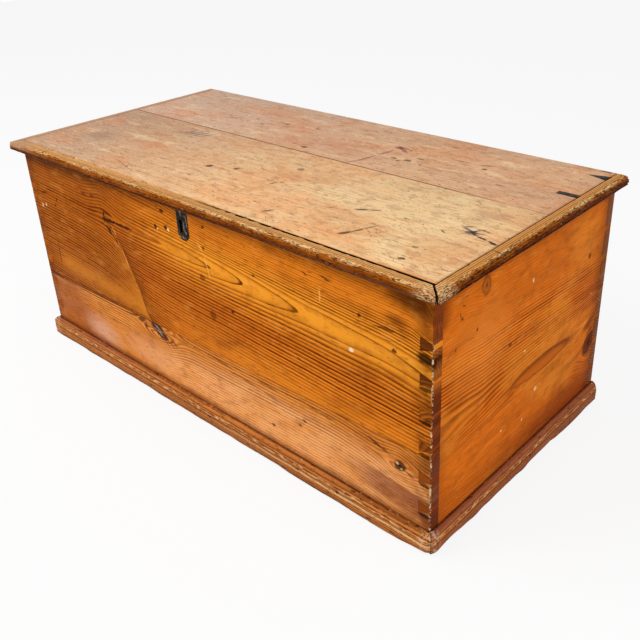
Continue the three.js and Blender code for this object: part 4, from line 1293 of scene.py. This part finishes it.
def base_edges(front_look, end_look):
    front_length, end_length = 2 * (END + BASE_REACH), 0.504
    section = [(max(0.0, out), max(0.0, z)) for out, z in fine_section(BASE_SECTION, 0.0014)]

    def radius(x, z):
        """The right-hand corner is kicked away at the foot."""
        return 0.009 + 0.020 * max(0.0, 1 - z / 0.034) if x > 0 else 0.006

    def along_front(t, out, z):
        reach = END + out - MITRE_GAP
        x = -reach + 2 * reach * t
        return rounded(x, FRONT - out, z, BASE_REACH, radius(x, z))

    def along_end(side):
        def at(t, out, z):
            start = FRONT - out + MITRE_GAP
            return rounded(side * (END + out), start + (BACK - start) * t, z, BASE_REACH,
                           radius(side, z))
        return at

    def wear(seed, span, ragged):
        """span is the length that t covers, for the wear's own spacing."""
        loss = wear_of(seed, 0.0003, 0.0010, 0.0060)

        def at(t, out, z, sharp):
            s = t * span
            foot = max(0.0, 1 - z / 0.014) * min(1.0, out / 0.006)
            slow = noise.noise(Vector((s * 8.5, 0, seed)))
            quick = noise.noise(Vector((s * 34, 3, seed)))
            chewed = foot * ragged * max(0.0, slow + 0.16 * quick + 0.18)
            return min(1.0, out / 0.004) * loss(s, out, z, sharp) + chewed
        return at

    sweep("base_moulding_front", section, along_front, front_length, wear(31.0, 1.0, 0.0062),
          front_look)
    for hand, side, seed in [("right", 1, 37.0), ("left", -1, 41.0)]:
        sweep(f"base_moulding_{hand}", section, along_end(side), end_length,
              wear(seed, 0.5, 0.0125), end_look)


# Camera, light and floor

FLOOR_LEVEL = -0.0004


def camera():
    """The photograph's view, fitted to the straight edges and corners of the chest."""
    view = Vector((-0.6145, 0.6455, -0.4536)).normalized()
    level = view.cross(Vector((0, 0, 1))).normalized()
    roll = 0.0439
    right = level * math.cos(roll) - level.cross(view).normalized() * math.sin(roll)
    right.normalize()
    up = right.cross(view).normalized()
    eye = linked("camera", bpy.data.cameras.new("camera"))
    eye.data.lens = 45.11
    eye.data.sensor_width = 36
    eye.data.shift_x = -0.0233
    eye.data.shift_y = -0.0624
    eye.data.clip_start = 0.01
    eye.data.clip_end = 50
    turn = Matrix((right, up, -view)).transposed().to_4x4()
    eye.matrix_world = Matrix.Translation((1.0031, -0.9405, 0.8857)) @ turn
    bpy.context.scene.camera = eye


def lamp(name, place, target, size, power):
    light = linked(name, bpy.data.lights.new(name, "AREA"))
    light.data.shape = "RECTANGLE"
    light.data.size, light.data.size_y = size
    light.data.energy = power
    way = Vector(target) - Vector(place)
    light.rotation_euler = way.to_track_quat("-Z", "Y").to_euler()
    light.location = place


def paper():
    """A white floor. Seen directly it is mostly lit from itself, and it still takes a shadow."""
    g = Surface("floor_paper")
    fibre = g.noise(g.place, 40.0, 3)
    lit = g.skin(g.mix(fibre, grey(0.86), grey(0.90)), 0.9, fibre, 0.0001)
    glow = g.output(g.make("ShaderNodeEmission"))
    return g.show(g.joined(g.make("ShaderNodeMixShader"), g.seen() * 0.86, lit, glow))


def sky():
    """White where it is seen, and dimmer as a light on the object."""
    g = Graph(bpy.data.worlds.new("studio"))
    strength = g.joined(g.make("ShaderNodeMapRange"), g.seen(), 0.0, 1.0, 0.44, 1.0)
    return g.show(g.joined(g.make("ShaderNodeBackground"), grey(1.0), strength))


def stage():
    scene = bpy.context.scene
    scene.view_settings.view_transform = "Standard"
    scene.world = sky()
    mesh = bpy.data.meshes.new("floor")
    corners = [(-6, -6), (6, -6), (6, 6), (-6, 6)]
    mesh.from_pydata([(x, y, FLOOR_LEVEL) for x, y in corners], [], [(0, 1, 2, 3)])
    mesh.materials.append(paper())
    linked("floor", mesh)
    lamp("key", (-1.6, -1.9, 2.6), (0, 0, 0.25), (2.4, 2.0), 70)
    lamp("fill", (2.4, -0.6, 1.6), (0, 0, 0.2), (1.8, 1.6), 22)


def dress_boards():
    boards = {
        "front_board_upper": front_upper_look(),
        "front_board_lower": front_lower_look(),
        "side_board_right": side_look("pine_side_right", facing_right, 21.0, True),
        "side_board_left": side_look("pine_side_left", facing_left, 25.0, False),
        "back_board_upper": back_look("pine_back_upper", 33.0),
        "back_board_lower": back_look("pine_back_lower", 39.0),
    }
    for node, look in boards.items():
        eased(node, 0.0005, look, "case_pine")
    eased("lid_board_front", 0.0006, lid_look("pine_lid_front", 43.0, False), "lid_pine")
    eased("lid_board_rear", 0.0006, lid_look("pine_lid_rear", 47.0, True), "lid_pine")
    lid_edges(lid_edge_look("pine_lid_edge_front", facing_front, 0.3, "#F0B067"),
              lid_edge_look("pine_lid_edge_end", facing_right, 1.0, "#ECA658"))
    base_edges(base_edge_look("pine_base_front", facing_front, 0.45),
               base_edge_look("pine_base_end", facing_right, 0.75))


def dress_raw_boards(iron, heads):
    """The bottom boards, nailed up, and the battens, screwed under the lid."""
    for i in range(1, 6):
        look = raw_look(f"pine_bottom_{i}", 50.0 + 3 * i)
        fastened(f"bottom_board_{i}", 0.0008, look, "raw_pine", iron, heads)
    batten = raw_look("pine_batten", 71.0)
    for hand in ("left", "right"):
        fastened(f"lid_batten_{hand}", 0.0010, batten, "raw_pine", iron, heads)


def dress_irons(iron, heads):
    plate = iron_look("iron_plate", "#080604", "#604C3A", 0.45, 0.0, 0.06)
    for node in ("lid_iron_strip", "lid_iron_wedge"):
        eased(node, 0.0003, plate, "iron")
    escutcheon(plate)
    eased("lock_bolt", METAL_EASE, iron, "iron")
    for node in ("lock_case", "lock_link_plate"):
        fastened(node, METAL_EASE, iron, "iron", iron, heads)
    for hand in ("left", "right"):
        eased(f"hinge_pin_{hand}", METAL_EASE, iron, "iron", sharp=40)
        for part in ("case", "lid"):
            fastened(f"hinge_{part}_leaf_{hand}", METAL_EASE, iron, "iron", iron, heads, sharp=40)


camera()
stage()
dress_boards()
iron = iron_look("iron_black", "#1E1A18", "#423C38")
heads = fastenings()
dress_raw_boards(iron, heads)
dress_irons(iron, heads)
